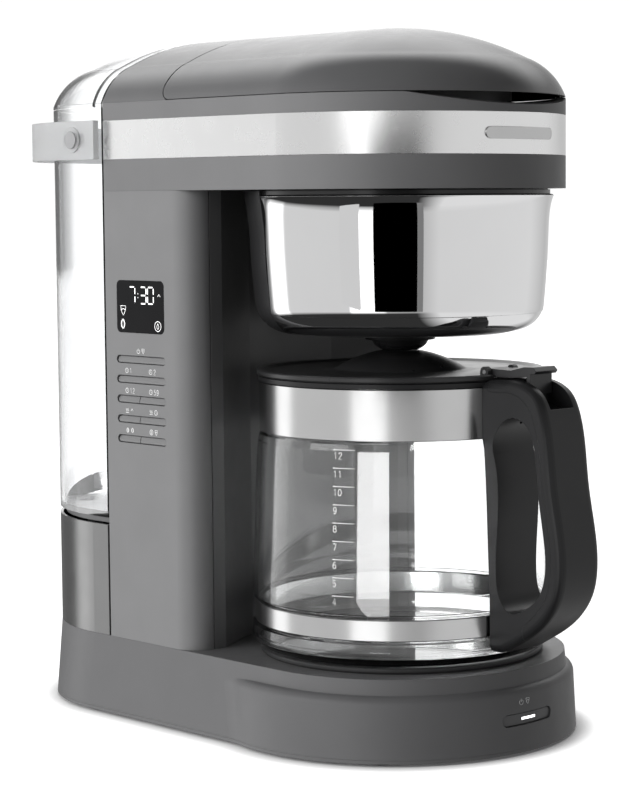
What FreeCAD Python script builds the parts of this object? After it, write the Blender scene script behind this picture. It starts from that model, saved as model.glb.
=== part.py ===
import FreeCAD, Part
import math
import os

# Drip coffee maker, modelled in millimetres with +Z up and the front towards -Y.
# Sizes are given from the brew axis, the upright line through the carafe and the brew chamber.
# Every finished piece is moved along Y by ROW_SHIFT, so that the origin is the middle of the footprint.

V = FreeCAD.Vector
UP = V(0, 0, 1)

# ---------------------------------------------------------------- driving sizes
HALF_WIDTH = 85.5          # half width of column, head and tank
HEIGHT = 362.0             # table to the crest of the lid
BASE_TOP = 42.0            # deck that the column and the carafe stand on
HEAD_BOTTOM = 280.3        # underside of the overhanging head
BAND_BOTTOM = 296.9        # bright trim band
BAND_TOP = 317.3
HEAD_TOP = 326.5           # seam between head and lid
BACK_Y = 135.5             # flat back of column and head, where the tank begins
TANK_CENTRE_Y = 150.0      # centre of the round back of tank and base
TANK_BOTTOM = 106.0
JOINT_GAP = 0.4            # gap between separate bodies that pass each other
FIT_GAP = 0.2              # gap between pieces of one body that slot together
SEAM_GAP = 0.8             # visible seam between neighbouring covers

# walls
WALL = 2.5                 # moulded plastic shells
PANEL_WALL = 3.0           # side panels
TANK_WALL = 2.2
BAND_WALL = 1.6

# base
FLARE = 5.5                # how far each side of the base leans out towards the table
BASE_FLARE = HALF_WIDTH + FLARE
PAN_BOTTOM = 1.5
PAN_TOP = 3.3
BULGE_Y = 4.0              # centre of the round front drum
BULGE_REACH_LOW = 8.6      # drum beyond the half width, at the table
BULGE_REACH_HIGH = 7.1     # the same where its shoulder starts
BULGE_RADIUS_LOW = HALF_WIDTH + BULGE_REACH_LOW
BULGE_RADIUS_HIGH = HALF_WIDTH + BULGE_REACH_HIGH
BULGE_HEIGHT = 29.5
SHOULDER_RADIUS = 4.6
SHOULDER_STEPS = 8
BLEND_RADIUS = 40.0        # hollow blend between straight side and drum
TIER_INSET = 1.0           # deck's front, behind the head's round front
TIER_LEAN = 3.0            # how far the deck's front would lean out at the table
TIER_FRONT_TOP = HALF_WIDTH - TIER_INSET
TIER_FRONT_LOW = TIER_FRONT_TOP + TIER_LEAN
REAR_RADIUS = HALF_WIDTH   # reach of the round back behind TANK_CENTRE_Y
FOOT_RADIUS = 8.0
FOOT_SPREAD_X = 62.0
FOOT_FRONT_Y = -48.0
FOOT_REAR_Y = 185.0
SCREW_INSET = 20.0         # from each foot towards the middle, along Y

# warming plate
PLATE_RADIUS = 73.5
PLATE_TOP = 45.2
PLATE_THICK = 2.2
GASKET_THICK = 1.0
PLATE_OPENING = 69.0

# column
CORNER_RADIUS = 13.0       # rounded front corner of each side panel
PANEL_FRONT_Y = 66.0       # front of the panel's return
PANEL_RETURN_X = HALF_WIDTH - CORNER_RADIUS   # inner end of the panel's return
COVE_START_X = 64.0        # where the front wall starts to curve back
COVE_END_X = 30.0
COVE_SIDE_Y = 83.3
COVE_MIDDLE_Y = 86.5

# control panel
KEY_FRONT_Y = 86.5         # front end of the key slots
KEY_REAR_Y = 126.7         # rear end of the key slots
KEY_HEIGHT = 4.2
KEY_PITCH = 10.55
KEY_TOP_Z = 191.9          # centre of the highest slot
KEY_SPLIT_Y = 108.7        # gap between two keys in one slot
KEY_TRAVEL = 1.0
KEY_FLANGE = 0.9
ROCKER_FLANGE_INSET = 12.5 # the rocking key is held only near its middle
KEY_SINK = 0.5             # how far a key's face lies inside the panel's
DISPLAY_REAR_Y = 126.0
DISPLAY_FRONT_Y = 87.0
DISPLAY_BOTTOM = 206.0
DISPLAY_TOP = 233.6
DISPLAY_CORNER = 3.0
DISPLAY_THICK = 1.8
BOARD_DEPTH = 10.0         # from the panel's face to the control board
BOARD_X = -HALF_WIDTH + BOARD_DEPTH
BOARD_THICK = 1.6

# front key on the base
START_WIDTH = 35.0
START_HEIGHT = 5.4
START_Z = 18.2
START_TRAVEL = 1.0

# lid and top covers: half width against height, the same along the whole crest
FLANK_MID = (HALF_WIDTH - 5.7, HEAD_TOP + 10.1)
FLANK_TOP = (HALF_WIDTH - 19.2, HEAD_TOP + 19.8)
DOME_FOOT = (HALF_WIDTH - 23.3, HEAD_TOP + 21.7)
LID_REAR_Y = 88.0          # hinge axis and rear edge of the lid
LID_HINGE_Z = HEIGHT - 2.8
HINGE_BARREL = 2.8
HINGE_PIN = 1.0
PIN_CLEARANCE = 0.05
LUG_START = 9.0
LUG_END = 13.0
LUG_RADIUS = 2.0
TANK_LID_Y = 144.0         # hinge axis and front edge of the tank's lid
LID_CORNER = 7.0           # rounded lower rear corner of the lid

# brew chamber and its basket
CHAMBER_FLOOR = 207.2
CHAMBER_WALL = 2.4
SHELL_WALL = 1.2
SHELL_HALF_ANGLE = 106.0   # the bright shell covers this far to each side of the front
NOZZLE_PLATE_RADIUS = 18.0
NOZZLE_BOTTOM = 197.9
VALVE_TRAVEL = 3.0

# carafe
CARAFE_BOTTOM = 45.5
GLASS_WALL = 2.6
COLLAR_RADIUS = 73.1
COLLAR_BOTTOM = 157.1
COLLAR_TOP = 182.5
COLLAR_WALL = 0.8
BAND_LOW_BOTTOM = 58.7
BAND_LOW_TOP = 69.4
BAND_LOW_RADIUS = COLLAR_RADIUS + 3.1
BAND_SEAT = BAND_LOW_RADIUS - 1.1  # outside of the glass under the lower band
CARAFE_LID_BOTTOM = 185.5
CARAFE_LID_TOP = 188.7
GLASS_NECK = COLLAR_RADIUS - 1.1   # outside of the glass behind the collar
CARAFE_LID_RADIUS = COLLAR_RADIUS + 1.2
DOME_RADIUS = 33.5
DOME_TOP = 197.4
HANDLE_HALF = 15.0
HANDLE_CORNER = 4.0
GRIP_REACH = 122.5         # foremost point of the handle, in front of the brew axis

# tank strap
STRAP_CLEARANCE = 1.9      # between the tank's side and the strap
STRAP_INNER = HALF_WIDTH + STRAP_CLEARANCE
STRAP_THICK = 3.4
STRAP_CENTRE_Y = 161.0
STRAP_BOTTOM = 297.0
STRAP_TOP = 317.5
STRAP_FRONT_Y = 137.0
PIVOT_Y = 155.0
PIVOT_Z = 307.5
PIVOT_RADIUS = 3.0
PIVOT_HEAD = 6.8

STRAP_REAR_Y = STRAP_CENTRE_Y + STRAP_INNER + STRAP_THICK
ROW_SHIFT = -(STRAP_REAR_Y - GRIP_REACH) / 2


# ---------------------------------------------------------------- shape helpers
def cylinder(radius, height, base, axis=UP):
    return Part.makeCylinder(radius, height, base, axis)


def box(x0, x1, y0, y1, z0, z1):
    return Part.makeBox(x1 - x0, y1 - y0, z1 - z0, V(x0, y0, z0))


def tube(outer, inner, z0, z1, x=0.0, y=0.0):
    wall = cylinder(outer, z1 - z0, V(x, y, z0))
    return wall.cut(cylinder(inner, z1 - z0, V(x, y, z0)))


def fuse(shapes):
    joined = shapes[0]
    for shape in shapes[1:]:
        joined = joined.fuse(shape)
    return joined.removeSplitter()


def face_of(edges):
    return Part.Face(Part.Wire(Part.__sortEdges__(edges)))


def arc(a, b, c):
    return Part.Arc(a, b, c).toShape()


def line(a, b):
    return Part.LineSegment(a, b).toShape()


def polyline(points):
    return [line(a, b) for a, b in zip(points, points[1:])]


def curve(points):
    spline = Part.BSplineCurve()
    spline.interpolate(points)
    return spline.toShape()


def prism(edges, direction):
    return face_of(edges).extrude(direction)


def revolve_rz(points, start=-90.0, sweep=360.0, y=0.0):
    """Turn a closed outline of (radius, z) points about the upright line at y."""
    rim = [V(r, 0, z) for r, z in points]
    face = face_of(polyline(rim + rim[:1]))
    face.rotate(V(0, 0, 0), UP, start)
    solid = face.revolve(V(0, 0, 0), UP, sweep)
    solid.translate(V(0, y, 0))
    return solid


def arc_points(centre, radius, start, end, steps):
    """Points on an arc in the (radius, z) plane, angles in degrees."""
    turn = [math.radians(start + (end - start) * i / steps) for i in range(steps + 1)]
    return [(centre[0] + radius * math.cos(t), centre[1] + radius * math.sin(t)) for t in turn]


def slot_prism(y0, y1, z_mid, height, x0, x1):
    """A slot with round ends that runs along Y, as a prism along X."""
    r = height / 2
    edges = [line(V(x0, y0 + r, z_mid + r), V(x0, y1 - r, z_mid + r)),
             arc(V(x0, y1 - r, z_mid + r), V(x0, y1, z_mid), V(x0, y1 - r, z_mid - r)),
             line(V(x0, y1 - r, z_mid - r), V(x0, y0 + r, z_mid - r)),
             arc(V(x0, y0 + r, z_mid - r), V(x0, y0, z_mid), V(x0, y0 + r, z_mid + r))]
    return prism(edges, V(x1 - x0, 0, 0))


def mirror_x(shape):
    return shape.mirror(V(0, 0, 0), V(1, 0, 0))


# ---------------------------------------------------------------- plan outlines
def body_plan(grow, z, back=BACK_Y):
    """Round front and straight sides up to a flat back."""
    r = HALF_WIDTH + grow
    edges = [arc(V(-r, 0, z), V(0, -r, z), V(r, 0, z)),
             line(V(r, 0, z), V(r, back, z)),
             line(V(r, back, z), V(-r, back, z)),
             line(V(-r, back, z), V(-r, 0, z))]
    return edges


def tank_plan(grow, z, front):
    """Flat front, straight sides and a round back."""
    r = HALF_WIDTH + grow
    c = TANK_CENTRE_Y
    edges = [line(V(-r, front, z), V(r, front, z)),
             line(V(r, front, z), V(r, c, z)),
             arc(V(r, c, z), V(0, c + r, z), V(-r, c, z)),
             line(V(-r, c, z), V(-r, front, z))]
    return edges


def base_side(z):
    """Half width of the base's straight side, which flares towards the table."""
    return BASE_FLARE + (HALF_WIDTH - BASE_FLARE) * z / BASE_TOP


def half_ellipse(a, b, y, z, front):
    """Half of an ellipse with half axes a along X and b along Y."""
    centre = V(0, y, z)
    if a >= b:
        ellipse = Part.Ellipse(centre, a, b)
        ends = (math.pi, 2 * math.pi) if front else (0, math.pi)
    else:
        ellipse = Part.Ellipse(V(0, y + b, z), V(a, y, z), centre)
        ends = (math.pi / 2, 3 * math.pi / 2) if front else (-math.pi / 2, math.pi / 2)
    return ellipse.toShape(*ends)


def tier_wire(z, inset=0.0):
    """Outline of the deck's tier: straight sides between a round front and a round back."""
    s = base_side(z) - inset
    front = TIER_FRONT_LOW + (TIER_FRONT_TOP - TIER_FRONT_LOW) * z / BASE_TOP - inset
    rear = REAR_RADIUS - inset
    c = TANK_CENTRE_Y
    nose = arc(V(-s, 0, z), V(0, -front, z), V(s, 0, z)) if abs(s - front) < 1e-6 else half_ellipse(s, front, 0, z, True)
    tail = half_ellipse(s, rear, c, z, False)
    return Part.Wire([nose, line(V(s, 0, z), V(s, c, z)), tail, line(V(-s, c, z), V(-s, 0, z))])


def drum_wire(z, radius, inset=0.0):
    """Outline of the lower base: the straight sides swell into the round front drum."""
    s = base_side(z) - inset
    b = radius - inset
    blend = BLEND_RADIUS + inset
    rise = math.sqrt((b + blend) ** 2 - (s + blend) ** 2)
    join_y = BULGE_Y + rise
    share = b / (b + blend)
    touch = V((s + blend) * share, BULGE_Y + rise * share, z)
    lean = math.atan2(rise, s + blend) / 2
    mid = V(s + blend - blend * math.cos(lean), join_y - blend * math.sin(lean), z)
    rear = REAR_RADIUS - inset
    c = TANK_CENTRE_Y
    return Part.Wire([arc(V(-touch.x, touch.y, z), V(0, BULGE_Y - b, z), touch),
                      arc(touch, mid, V(s, join_y, z)),
                      line(V(s, join_y, z), V(s, c, z)),
                      half_ellipse(s, rear, c, z, False),
                      line(V(-s, c, z), V(-s, join_y, z)),
                      arc(V(-s, join_y, z), V(-mid.x, mid.y, z), V(-touch.x, touch.y, z))])


def drum_radius(z):
    return BULGE_RADIUS_LOW + (BULGE_RADIUS_HIGH - BULGE_RADIUS_LOW) * z / BULGE_HEIGHT


def loft(wires):
    return Part.makeLoft(wires, True, True)


def base_block(bottom, inset):
    """The base as a solid: drum, rounded shoulder and deck tier."""
    shoulder = []
    for i in range(SHOULDER_STEPS + 1):
        turn = math.radians(90.0 * i / SHOULDER_STEPS)
        z = BULGE_HEIGHT + SHOULDER_RADIUS * math.sin(turn) - inset
        radius = BULGE_RADIUS_HIGH - SHOULDER_RADIUS * (1 - math.cos(turn))
        shoulder.append(drum_wire(z, radius, inset))
    drum = loft([drum_wire(bottom, drum_radius(bottom), inset), shoulder[0]])
    crown = loft(shoulder)
    tier = loft([tier_wire(BULGE_HEIGHT - inset, inset), tier_wire(BASE_TOP - inset, inset)])
    return fuse([drum, crown, tier])


# ---------------------------------------------------------------- base
def foot_places():
    return [(sx * FOOT_SPREAD_X, y) for sx in (-1, 1) for y in (FOOT_FRONT_Y, FOOT_REAR_Y)]


def screw_places():
    return [(x, y + (SCREW_INSET if y < 0 else -SCREW_INSET)) for x, y in foot_places()]


SCREW_SHANK = 1.6
SCREW_LENGTH = 9.0
BOSS_RADIUS = 4.0


def start_slot(grow, depth_in, depth_out):
    """Front key's outline, swept through the wall of the drum."""
    w = START_WIDTH / 2 + grow
    r = START_HEIGHT / 2 + grow
    z = START_Z
    front = BULGE_Y - drum_radius(z) - depth_out
    reach = depth_out + depth_in
    edges = [line(V(-w + r, front, z + r), V(w - r, front, z + r)),
             arc(V(w - r, front, z + r), V(w, front, z), V(w - r, front, z - r)),
             line(V(w - r, front, z - r), V(-w + r, front, z - r)),
             arc(V(-w + r, front, z - r), V(-w, front, z), V(-w + r, front, z + r))]
    return prism(edges, V(0, reach, 0))


def drum_skin(outer_inset, inner_inset):
    """Upright ring that follows the drum's front, between two insets from its surface."""
    radius = drum_radius(START_Z)
    ring = tube(radius - outer_inset, radius - inner_inset, START_Z - 8, START_Z + 8, 0, BULGE_Y)
    return ring.common(box(-40, 40, -120, 0, 0, 60))


def base_housing():
    shell = base_block(PAN_TOP, 0.0).cut(base_block(PAN_TOP - 1.0, WALL))
    shell = shell.cut(cylinder(PLATE_OPENING, 10, V(0, 0, BASE_TOP - 6)))
    tall = BASE_TOP - WALL - PAN_TOP - FIT_GAP
    rear = [cylinder(BOSS_RADIUS, tall, V(x, y, PAN_TOP + FIT_GAP)) for x, y in screw_places() if y > 0]
    shell = fuse([shell] + rear)
    ribs = []
    for x, y in screw_places():
        if y < 0:
            side = math.copysign(1, x)
            reach = base_side(20) - WALL + 0.5
            arm = box(min(x, side * reach), max(x, side * reach), y - 1.2, y + 1.2, PAN_TOP + 1.5, 22.0)
            post = cylinder(BOSS_RADIUS, 18.0, V(x, y, PAN_TOP + FIT_GAP))
            limit = base_block(PAN_TOP - 1.0, WALL / 2)
            ribs.append(arm.fuse(post).common(limit))
    shell = fuse([shell] + ribs)
    for x, y in screw_places():
        shell = shell.cut(cylinder(SCREW_SHANK, SCREW_LENGTH + 1, V(x, y, PAN_TOP - 1)))
    shell = shell.cut(cylinder(RISER_RADIUS + 1, 8, V(riser_x(), RISER_BACK_Y, BASE_TOP - 6)))
    shell = shell.cut(cylinder(HOSE_RADIUS + 1, 8, V(SEAT_VALVE_X, SEAT_VALVE_Y, BASE_TOP - 6)))
    return shell.cut(start_slot(JOINT_GAP, 12, 12))


def base_pan():
    plate = loft([drum_wire(PAN_BOTTOM, drum_radius(PAN_BOTTOM)), drum_wire(PAN_TOP, drum_radius(PAN_TOP))])
    lip_out = WALL + FIT_GAP
    lip = loft([drum_wire(PAN_TOP, drum_radius(PAN_TOP), lip_out),
                drum_wire(PAN_TOP + 3, drum_radius(PAN_TOP + 3), lip_out)])
    lip = lip.cut(loft([drum_wire(PAN_TOP - 1, drum_radius(PAN_TOP), lip_out + 1.6),
                        drum_wire(PAN_TOP + 4, drum_radius(PAN_TOP + 3), lip_out + 1.6)]))
    for x, y in screw_places():
        lip = lip.cut(cylinder(BOSS_RADIUS + 1, 6, V(x, y, PAN_TOP)))
        side = math.copysign(BASE_FLARE, x)
        lip = lip.cut(box(min(x, side), max(x, side), y - 2, y + 2, PAN_TOP + 1, PAN_TOP + 5))
    pan = fuse([plate, lip])
    for x, y in screw_places():
        pan = pan.cut(cylinder(SCREW_SHANK + 0.1, 4, V(x, y, PAN_BOTTOM - 1)))
    return pan


def feet():
    return Part.makeCompound([cylinder(FOOT_RADIUS, PAN_BOTTOM, V(x, y, 0)) for x, y in foot_places()])


def base_screws():
    screws = []
    for x, y in screw_places():
        head = cylinder(3.0, 1.2, V(x, y, PAN_BOTTOM - 1.2))
        shank = cylinder(SCREW_SHANK - 0.02, SCREW_LENGTH, V(x, y, PAN_BOTTOM))
        cross = box(x - 1.6, x + 1.6, y - 0.3, y + 0.3, PAN_BOTTOM - 1.2, PAN_BOTTOM - 0.6)
        cross = cross.fuse(box(x - 0.3, x + 0.3, y - 1.6, y + 1.6, PAN_BOTTOM - 1.2, PAN_BOTTOM - 0.6))
        screws.append(head.fuse(shank).cut(cross))
    return Part.makeCompound(screws)


def start_key():
    cap = drum_skin(0.8, 4.2).common(start_slot(0.0, 12, 12))
    flange = drum_skin(WALL + JOINT_GAP, WALL + JOINT_GAP + 1.2).common(start_slot(1.4, 12, 12))
    return fuse([cap, flange])


def warming_plate():
    bottom = BASE_TOP + GASKET_THICK
    rim = [(0, bottom), (PLATE_RADIUS, bottom)]
    edge = arc_points((PLATE_RADIUS - 1.2, PLATE_TOP - 1.2), 1.2, 0, 90, 6)
    dish = [(PLATE_RADIUS - 4.0, PLATE_TOP), (PLATE_RADIUS - 5.0, PLATE_TOP - 0.3), (0, PLATE_TOP - 0.3)]
    return revolve_rz(rim + edge + dish)


def plate_gasket():
    return tube(PLATE_RADIUS - 1.0, PLATE_OPENING - 2.0, BASE_TOP, BASE_TOP + GASKET_THICK)


HEATER_RING = 46.0
HEATER_TUBE = 4.5
HEATER_GAP = 24.0          # half the open angle of the horseshoe, in degrees
HEATER_END = 10.0          # straight ends of the tube
TUBE_RUN_Z = 30.0          # level at which the water tubes cross below the deck
RISER_BACK_Y = 112.0
RISER_FRONT_Y = 76.0
RISER_TURN_Z = 296.0
RISER_MOUTH = 314.0


def heater_port(side):
    """Open end of the heating tube, and the run below the deck that follows it."""
    x = side * HEATER_RING * math.sin(math.radians(HEATER_GAP))
    y = HEATER_RING * math.cos(math.radians(HEATER_GAP)) + HEATER_END
    z = BASE_TOP + GASKET_THICK - HEATER_TUBE
    return [V(x, y, z), V(x, y + 4.0, z), V(x, y + 15.0, TUBE_RUN_Z)]


def riser_x():
    return heater_port(-1)[0].x


def plate_heater():
    """Horseshoe heating tube under the plate, with its two ends turned to the back."""
    z = BASE_TOP + GASKET_THICK - HEATER_TUBE
    gap = math.radians(HEATER_GAP)
    x = HEATER_RING * math.sin(gap)
    y = HEATER_RING * math.cos(gap)
    ring = arc(V(-x, y, z), V(0, -HEATER_RING, z), V(x, y, z))
    centre = V(-x, y, z)
    tangent = V(-y, -x, 0)
    profile = Part.Wire(Part.makeCircle(HEATER_TUBE, centre, tangent))
    horseshoe = Part.Wire([ring]).makePipeShell([profile], True, False)
    ends = [cylinder(HEATER_TUBE, HEATER_END + 2.0, V(side * x, y - 2.0, z), V(0, 1, 0)) for side in (-1, 1)]
    return fuse([horseshoe] + ends)


CLAMP_Z = BASE_TOP + GASKET_THICK - 2 * HEATER_TUBE - 1.6


def heater_clamp():
    """Spring-steel bar that presses the heating tube against the plate."""
    bar = box(-HEATER_RING - 4, HEATER_RING + 4, -7, 7, CLAMP_Z, CLAMP_Z + 1.6)
    bar = bar.cut(cylinder(2.2, 4, V(0, 0, CLAMP_Z - 1)))
    stud = cylinder(2.1, BASE_TOP + GASKET_THICK - CLAMP_Z + 5, V(0, 0, CLAMP_Z - 5))
    nut = cylinder(4.0, 3.0, V(0, 0, CLAMP_Z - 3))
    return Part.makeCompound([bar, fuse([stud, nut])])


def thermostat():
    top = BASE_TOP + GASKET_THICK
    can = cylinder(8.0, 7.0, V(22, 20, top - 7.0))
    tabs = [box(22 + s * 4 - 0.4, 22 + s * 4 + 0.4, 17, 23, top - 13.0, top - 7.0) for s in (-1, 1)]
    return fuse([can] + tabs)


# ---------------------------------------------------------------- column
def cove_edges(z, offset=0.0):
    """Front wall of the column: flat beside the panels and curved back behind the carafe."""
    y0 = PANEL_FRONT_Y + offset
    y1 = COVE_SIDE_Y + offset
    mid_x = (COVE_START_X + COVE_END_X) / 2
    mid_y = (y0 + y1) / 2 + 1.2
    start = V(-COVE_START_X, y0, z)
    knee = V(-COVE_END_X, y1, z)
    left = curve([start, V(-mid_x, mid_y, z), knee])
    middle = arc(knee, V(0, COVE_MIDDLE_Y + offset, z), V(COVE_END_X, y1, z))
    right = curve([V(COVE_END_X, y1, z), V(mid_x, mid_y, z), V(COVE_START_X, y0, z)])
    return [left, middle, right]


def column_solid(side_x, front_offset, back, z0, z1):
    y0 = PANEL_FRONT_Y + front_offset
    edges = cove_edges(z0, front_offset)
    edges += polyline([V(COVE_START_X, y0, z0), V(side_x, y0, z0), V(side_x, back, z0),
                       V(-side_x, back, z0), V(-side_x, y0, z0), V(-COVE_START_X, y0, z0)])
    return prism(edges, V(0, 0, z1 - z0))


COLUMN_SIDE_X = PANEL_RETURN_X - 0.6
PORT_X = 30.0              # the hose leaves the column through its back here
PORT_Z = 60.0
PORT_RADIUS = 9.0


def column_housing():
    outer = column_solid(COLUMN_SIDE_X, 0.0, BACK_Y, BASE_TOP, HEAD_BOTTOM)
    inner = column_solid(COLUMN_SIDE_X - WALL, WALL, BACK_Y - WALL, BASE_TOP - 1, HEAD_BOTTOM + 1)
    shell = outer.cut(inner)
    window = cylinder(PORT_RADIUS, 10, V(PORT_X, BACK_Y - 6, PORT_Z), V(0, 1, 0))
    wires = cylinder(5.0, 12, V(-COLUMN_SIDE_X - 4, 110, 70), V(1, 0, 0))
    return shell.cut(window).cut(wires)


def panel_corner(inset):
    """Place and size of the side panel's rounded front corner, for its outer or inner face."""
    radius = CORNER_RADIUS - inset
    return -(HALF_WIDTH - inset), PANEL_FRONT_Y + inset, radius, radius * (1 - math.sqrt(0.5))


def panel_shape():
    """Left side panel: flat side, rounded corner and a short return to the front."""
    z = BASE_TOP
    xo, yo, ro, do = panel_corner(0.0)
    xi, yi, ri, di = panel_corner(PANEL_WALL)
    back = BACK_Y
    inner_end = -PANEL_RETURN_X + 0.001
    edges = [line(V(xo, back, z), V(xo, yo + ro, z)),
             arc(V(xo, yo + ro, z), V(xo + do, yo + do, z), V(xo + ro, yo, z)),
             line(V(xo + ro, yo, z), V(inner_end, yo, z)),
             line(V(inner_end, yo, z), V(inner_end, yi, z)),
             line(V(inner_end, yi, z), V(xi + ri, yi, z)),
             arc(V(xi + ri, yi, z), V(xi + di, yi + di, z), V(xi, yi + ri, z)),
             line(V(xi, yi + ri, z), V(xi, back, z)),
             line(V(xi, back, z), V(xo, back, z))]
    return prism(edges, V(0, 0, HEAD_BOTTOM - BASE_TOP))


def key_rows():
    return [KEY_TOP_Z - KEY_PITCH * i for i in range(5)]


def display_block(grow, x0, x1):
    y0 = DISPLAY_FRONT_Y - grow
    y1 = DISPLAY_REAR_Y + grow
    z0 = DISPLAY_BOTTOM - grow
    z1 = DISPLAY_TOP + grow
    block = box(x0, x1, y0, y1, z0, z1)
    upright = [e for e in block.Edges if abs(e.tangentAt(e.FirstParameter).x) > 0.9]
    return block.makeFillet(max(DISPLAY_CORNER + grow, 0.5), upright)


def panel_rail():
    """Rib inside the panel's back edge, which the column's back wall meets."""
    x0 = -(HALF_WIDTH - PANEL_WALL)
    return box(x0, -COLUMN_SIDE_X, BACK_Y - 4.0, BACK_Y, BASE_TOP, HEAD_BOTTOM)


def control_panel():
    face = -HALF_WIDTH
    panel = fuse([panel_shape(), panel_rail()])
    panel = panel.cut(display_block(0.0, face - 1, face + DISPLAY_THICK))
    panel = panel.cut(display_block(-2.0, face - 1, face + PANEL_WALL + 1))
    for z in key_rows():
        slot = slot_prism(KEY_FRONT_Y, KEY_REAR_Y, z, KEY_HEIGHT, face - 1, face + PANEL_WALL + 1)
        panel = panel.cut(slot)
    return panel


def right_panel():
    return mirror_x(fuse([panel_shape(), panel_rail()]))


def key_cap(y0, y1, z, flange_inset=0.0):
    """One key: a face that leans back towards its top, and a flange that keeps it in the slot."""
    face = -HALF_WIDTH
    gap = JOINT_GAP
    height = KEY_HEIGHT - 2 * gap
    r = height / 2
    stem_end = face + PANEL_WALL + 3.0
    body = slot_prism(KEY_FRONT_Y + gap, KEY_REAR_Y - gap, z, height, face + KEY_SINK, stem_end)
    body = body.common(box(face - 2, stem_end + 1, y0, y1, z - 5, z + 5))
    lean = [V(face - 1, y0 - 1, z + r + 1), V(face + KEY_SINK + 1.1, y0 - 1, z + r + 1),
            V(face + KEY_SINK, y0 - 1, z - r * 0.4), V(face - 1, y0 - 1, z - r * 0.4)]
    body = body.cut(prism(polyline(lean + lean[:1]), V(0, y1 - y0 + 2, 0)))
    inner = face + PANEL_WALL + gap
    low = z - r - gap - KEY_FLANGE
    high = z + r + gap + KEY_FLANGE
    flange = box(inner, inner + 1.0, y0 + flange_inset, y1 - flange_inset, low, high)
    return fuse([body, flange])


def panel_keys():
    keys = {}
    whole = (KEY_FRONT_Y + JOINT_GAP, KEY_REAR_Y - JOINT_GAP)
    half = JOINT_GAP / 2
    rear = (KEY_SPLIT_Y + half, KEY_REAR_Y - JOINT_GAP)
    front = (KEY_FRONT_Y + JOINT_GAP, KEY_SPLIT_Y - half)
    rows = key_rows()
    keys["brew_key"] = key_cap(*whole, rows[0])
    keys["preset_key"] = key_cap(*whole, rows[1], ROCKER_FLANGE_INSET)
    pairs = [("hour_key", "minute_key"), ("plate_heat_key", "plate_time_key"), ("strength_key", "clean_key")]
    for (left, right), z in zip(pairs, rows[2:]):
        keys[left] = key_cap(*rear, z)
        keys[right] = key_cap(*front, z)
    return keys


def control_board():
    low = key_rows()[-1] - 8
    board = box(BOARD_X, BOARD_X + BOARD_THICK, KEY_FRONT_Y - 4, KEY_REAR_Y + 2, low, DISPLAY_TOP + 2)
    switches = []
    mid_rear = (KEY_SPLIT_Y + KEY_REAR_Y) / 2
    mid_front = (KEY_SPLIT_Y + KEY_FRONT_Y) / 2
    cap_end = -HALF_WIDTH + PANEL_WALL + 3.0
    reach = cap_end + KEY_TRAVEL + 0.25
    for z in key_rows():
        for y in (mid_rear, mid_front):
            switches.append(box(reach, BOARD_X, y - 3, y + 3, z - 2.5, z + 2.5))
    posts = [box(BOARD_X + BOARD_THICK, -COLUMN_SIDE_X, y - 2, y + 2, z - 2, z + 2)
             for y in (KEY_FRONT_Y, KEY_REAR_Y - 3) for z in (low + 4, DISPLAY_TOP - 4)]
    return fuse([board] + switches + posts)


def display_window():
    face = -HALF_WIDTH
    pane = display_block(-0.05, face, face + DISPLAY_THICK)
    return pane


def display_module():
    inner = -HALF_WIDTH + PANEL_WALL
    return box(inner, BOARD_X, DISPLAY_FRONT_Y + 1, DISPLAY_REAR_Y - 1, DISPLAY_BOTTOM + 1, DISPLAY_TOP - 1)


# ---------------------------------------------------------------- head
def crescent():
    """Finger recess under the front edge of the lid, deepest at the front."""
    depth = 5.5
    reach = 62.0
    front = HALF_WIDTH + 2
    slope = depth / (HALF_WIDTH - reach)
    drop = slope * (front - reach)
    rim = [V(-front, -reach, HEAD_TOP), V(-front, -front, HEAD_TOP), V(-front, -front, HEAD_TOP - drop)]
    wedge = prism(polyline(rim + rim[:1]), V(2 * front, 0, 0))
    ring = tube(HALF_WIDTH + 5, HALF_WIDTH - 4.5, HEAD_TOP - 10, HEAD_TOP + 1)
    return wedge.common(ring)


FLANGE_RADIUS = 80.4       # opening in the underside that the brew chamber passes


def plan_solid(grow, z0, z1, back=BACK_Y):
    return prism(body_plan(grow, z0, back), V(0, 0, z1 - z0))


def head_housing():
    outer = plan_solid(0.0, HEAD_BOTTOM, HEAD_TOP)
    inner = plan_solid(-WALL - BAND_WALL, HEAD_BOTTOM + WALL, HEAD_TOP + 1, BACK_Y - WALL - BAND_WALL)
    shell = outer.cut(inner)
    groove = plan_solid(5.0, BAND_BOTTOM, BAND_TOP, BACK_Y + 5)
    groove = groove.cut(plan_solid(-BAND_WALL, BAND_BOTTOM - 1, BAND_TOP + 1, BACK_Y + 6))
    shell = shell.cut(groove)
    shell = shell.cut(cylinder(FLANGE_RADIUS, WALL + 2, V(0, 0, HEAD_BOTTOM - 1)))
    shell = shell.cut(box(-50, 50, 92, BACK_Y - 12, HEAD_BOTTOM - 1, HEAD_BOTTOM + WALL + 1))
    return shell.cut(crescent())


def head_band():
    outer = plan_solid(0.0, BAND_BOTTOM, BAND_TOP)
    inner = plan_solid(-BAND_WALL, BAND_BOTTOM - 1, BAND_TOP + 1, BACK_Y + 1)
    return outer.cut(inner)


BADGE_HALF = 24.0
BADGE_HEIGHT = 6.0
BADGE_PROUD = 0.8


def badge():
    """Plain raised oval on the front of the trim band."""
    z = (BAND_BOTTOM + BAND_TOP) / 2
    r = BADGE_HEIGHT / 2
    w = BADGE_HALF
    y = -HALF_WIDTH - 10
    edges = [line(V(-w + r, y, z + r), V(w - r, y, z + r)),
             arc(V(w - r, y, z + r), V(w, y, z), V(w - r, y, z - r)),
             line(V(w - r, y, z - r), V(-w + r, y, z - r)),
             arc(V(-w + r, y, z - r), V(-w, y, z), V(-w + r, y, z + r))]
    pill = prism(edges, V(0, 40, 0))
    skin = tube(HALF_WIDTH + BADGE_PROUD, HALF_WIDTH + 0.03, z - 10, z + 10)
    return pill.common(skin)


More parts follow.
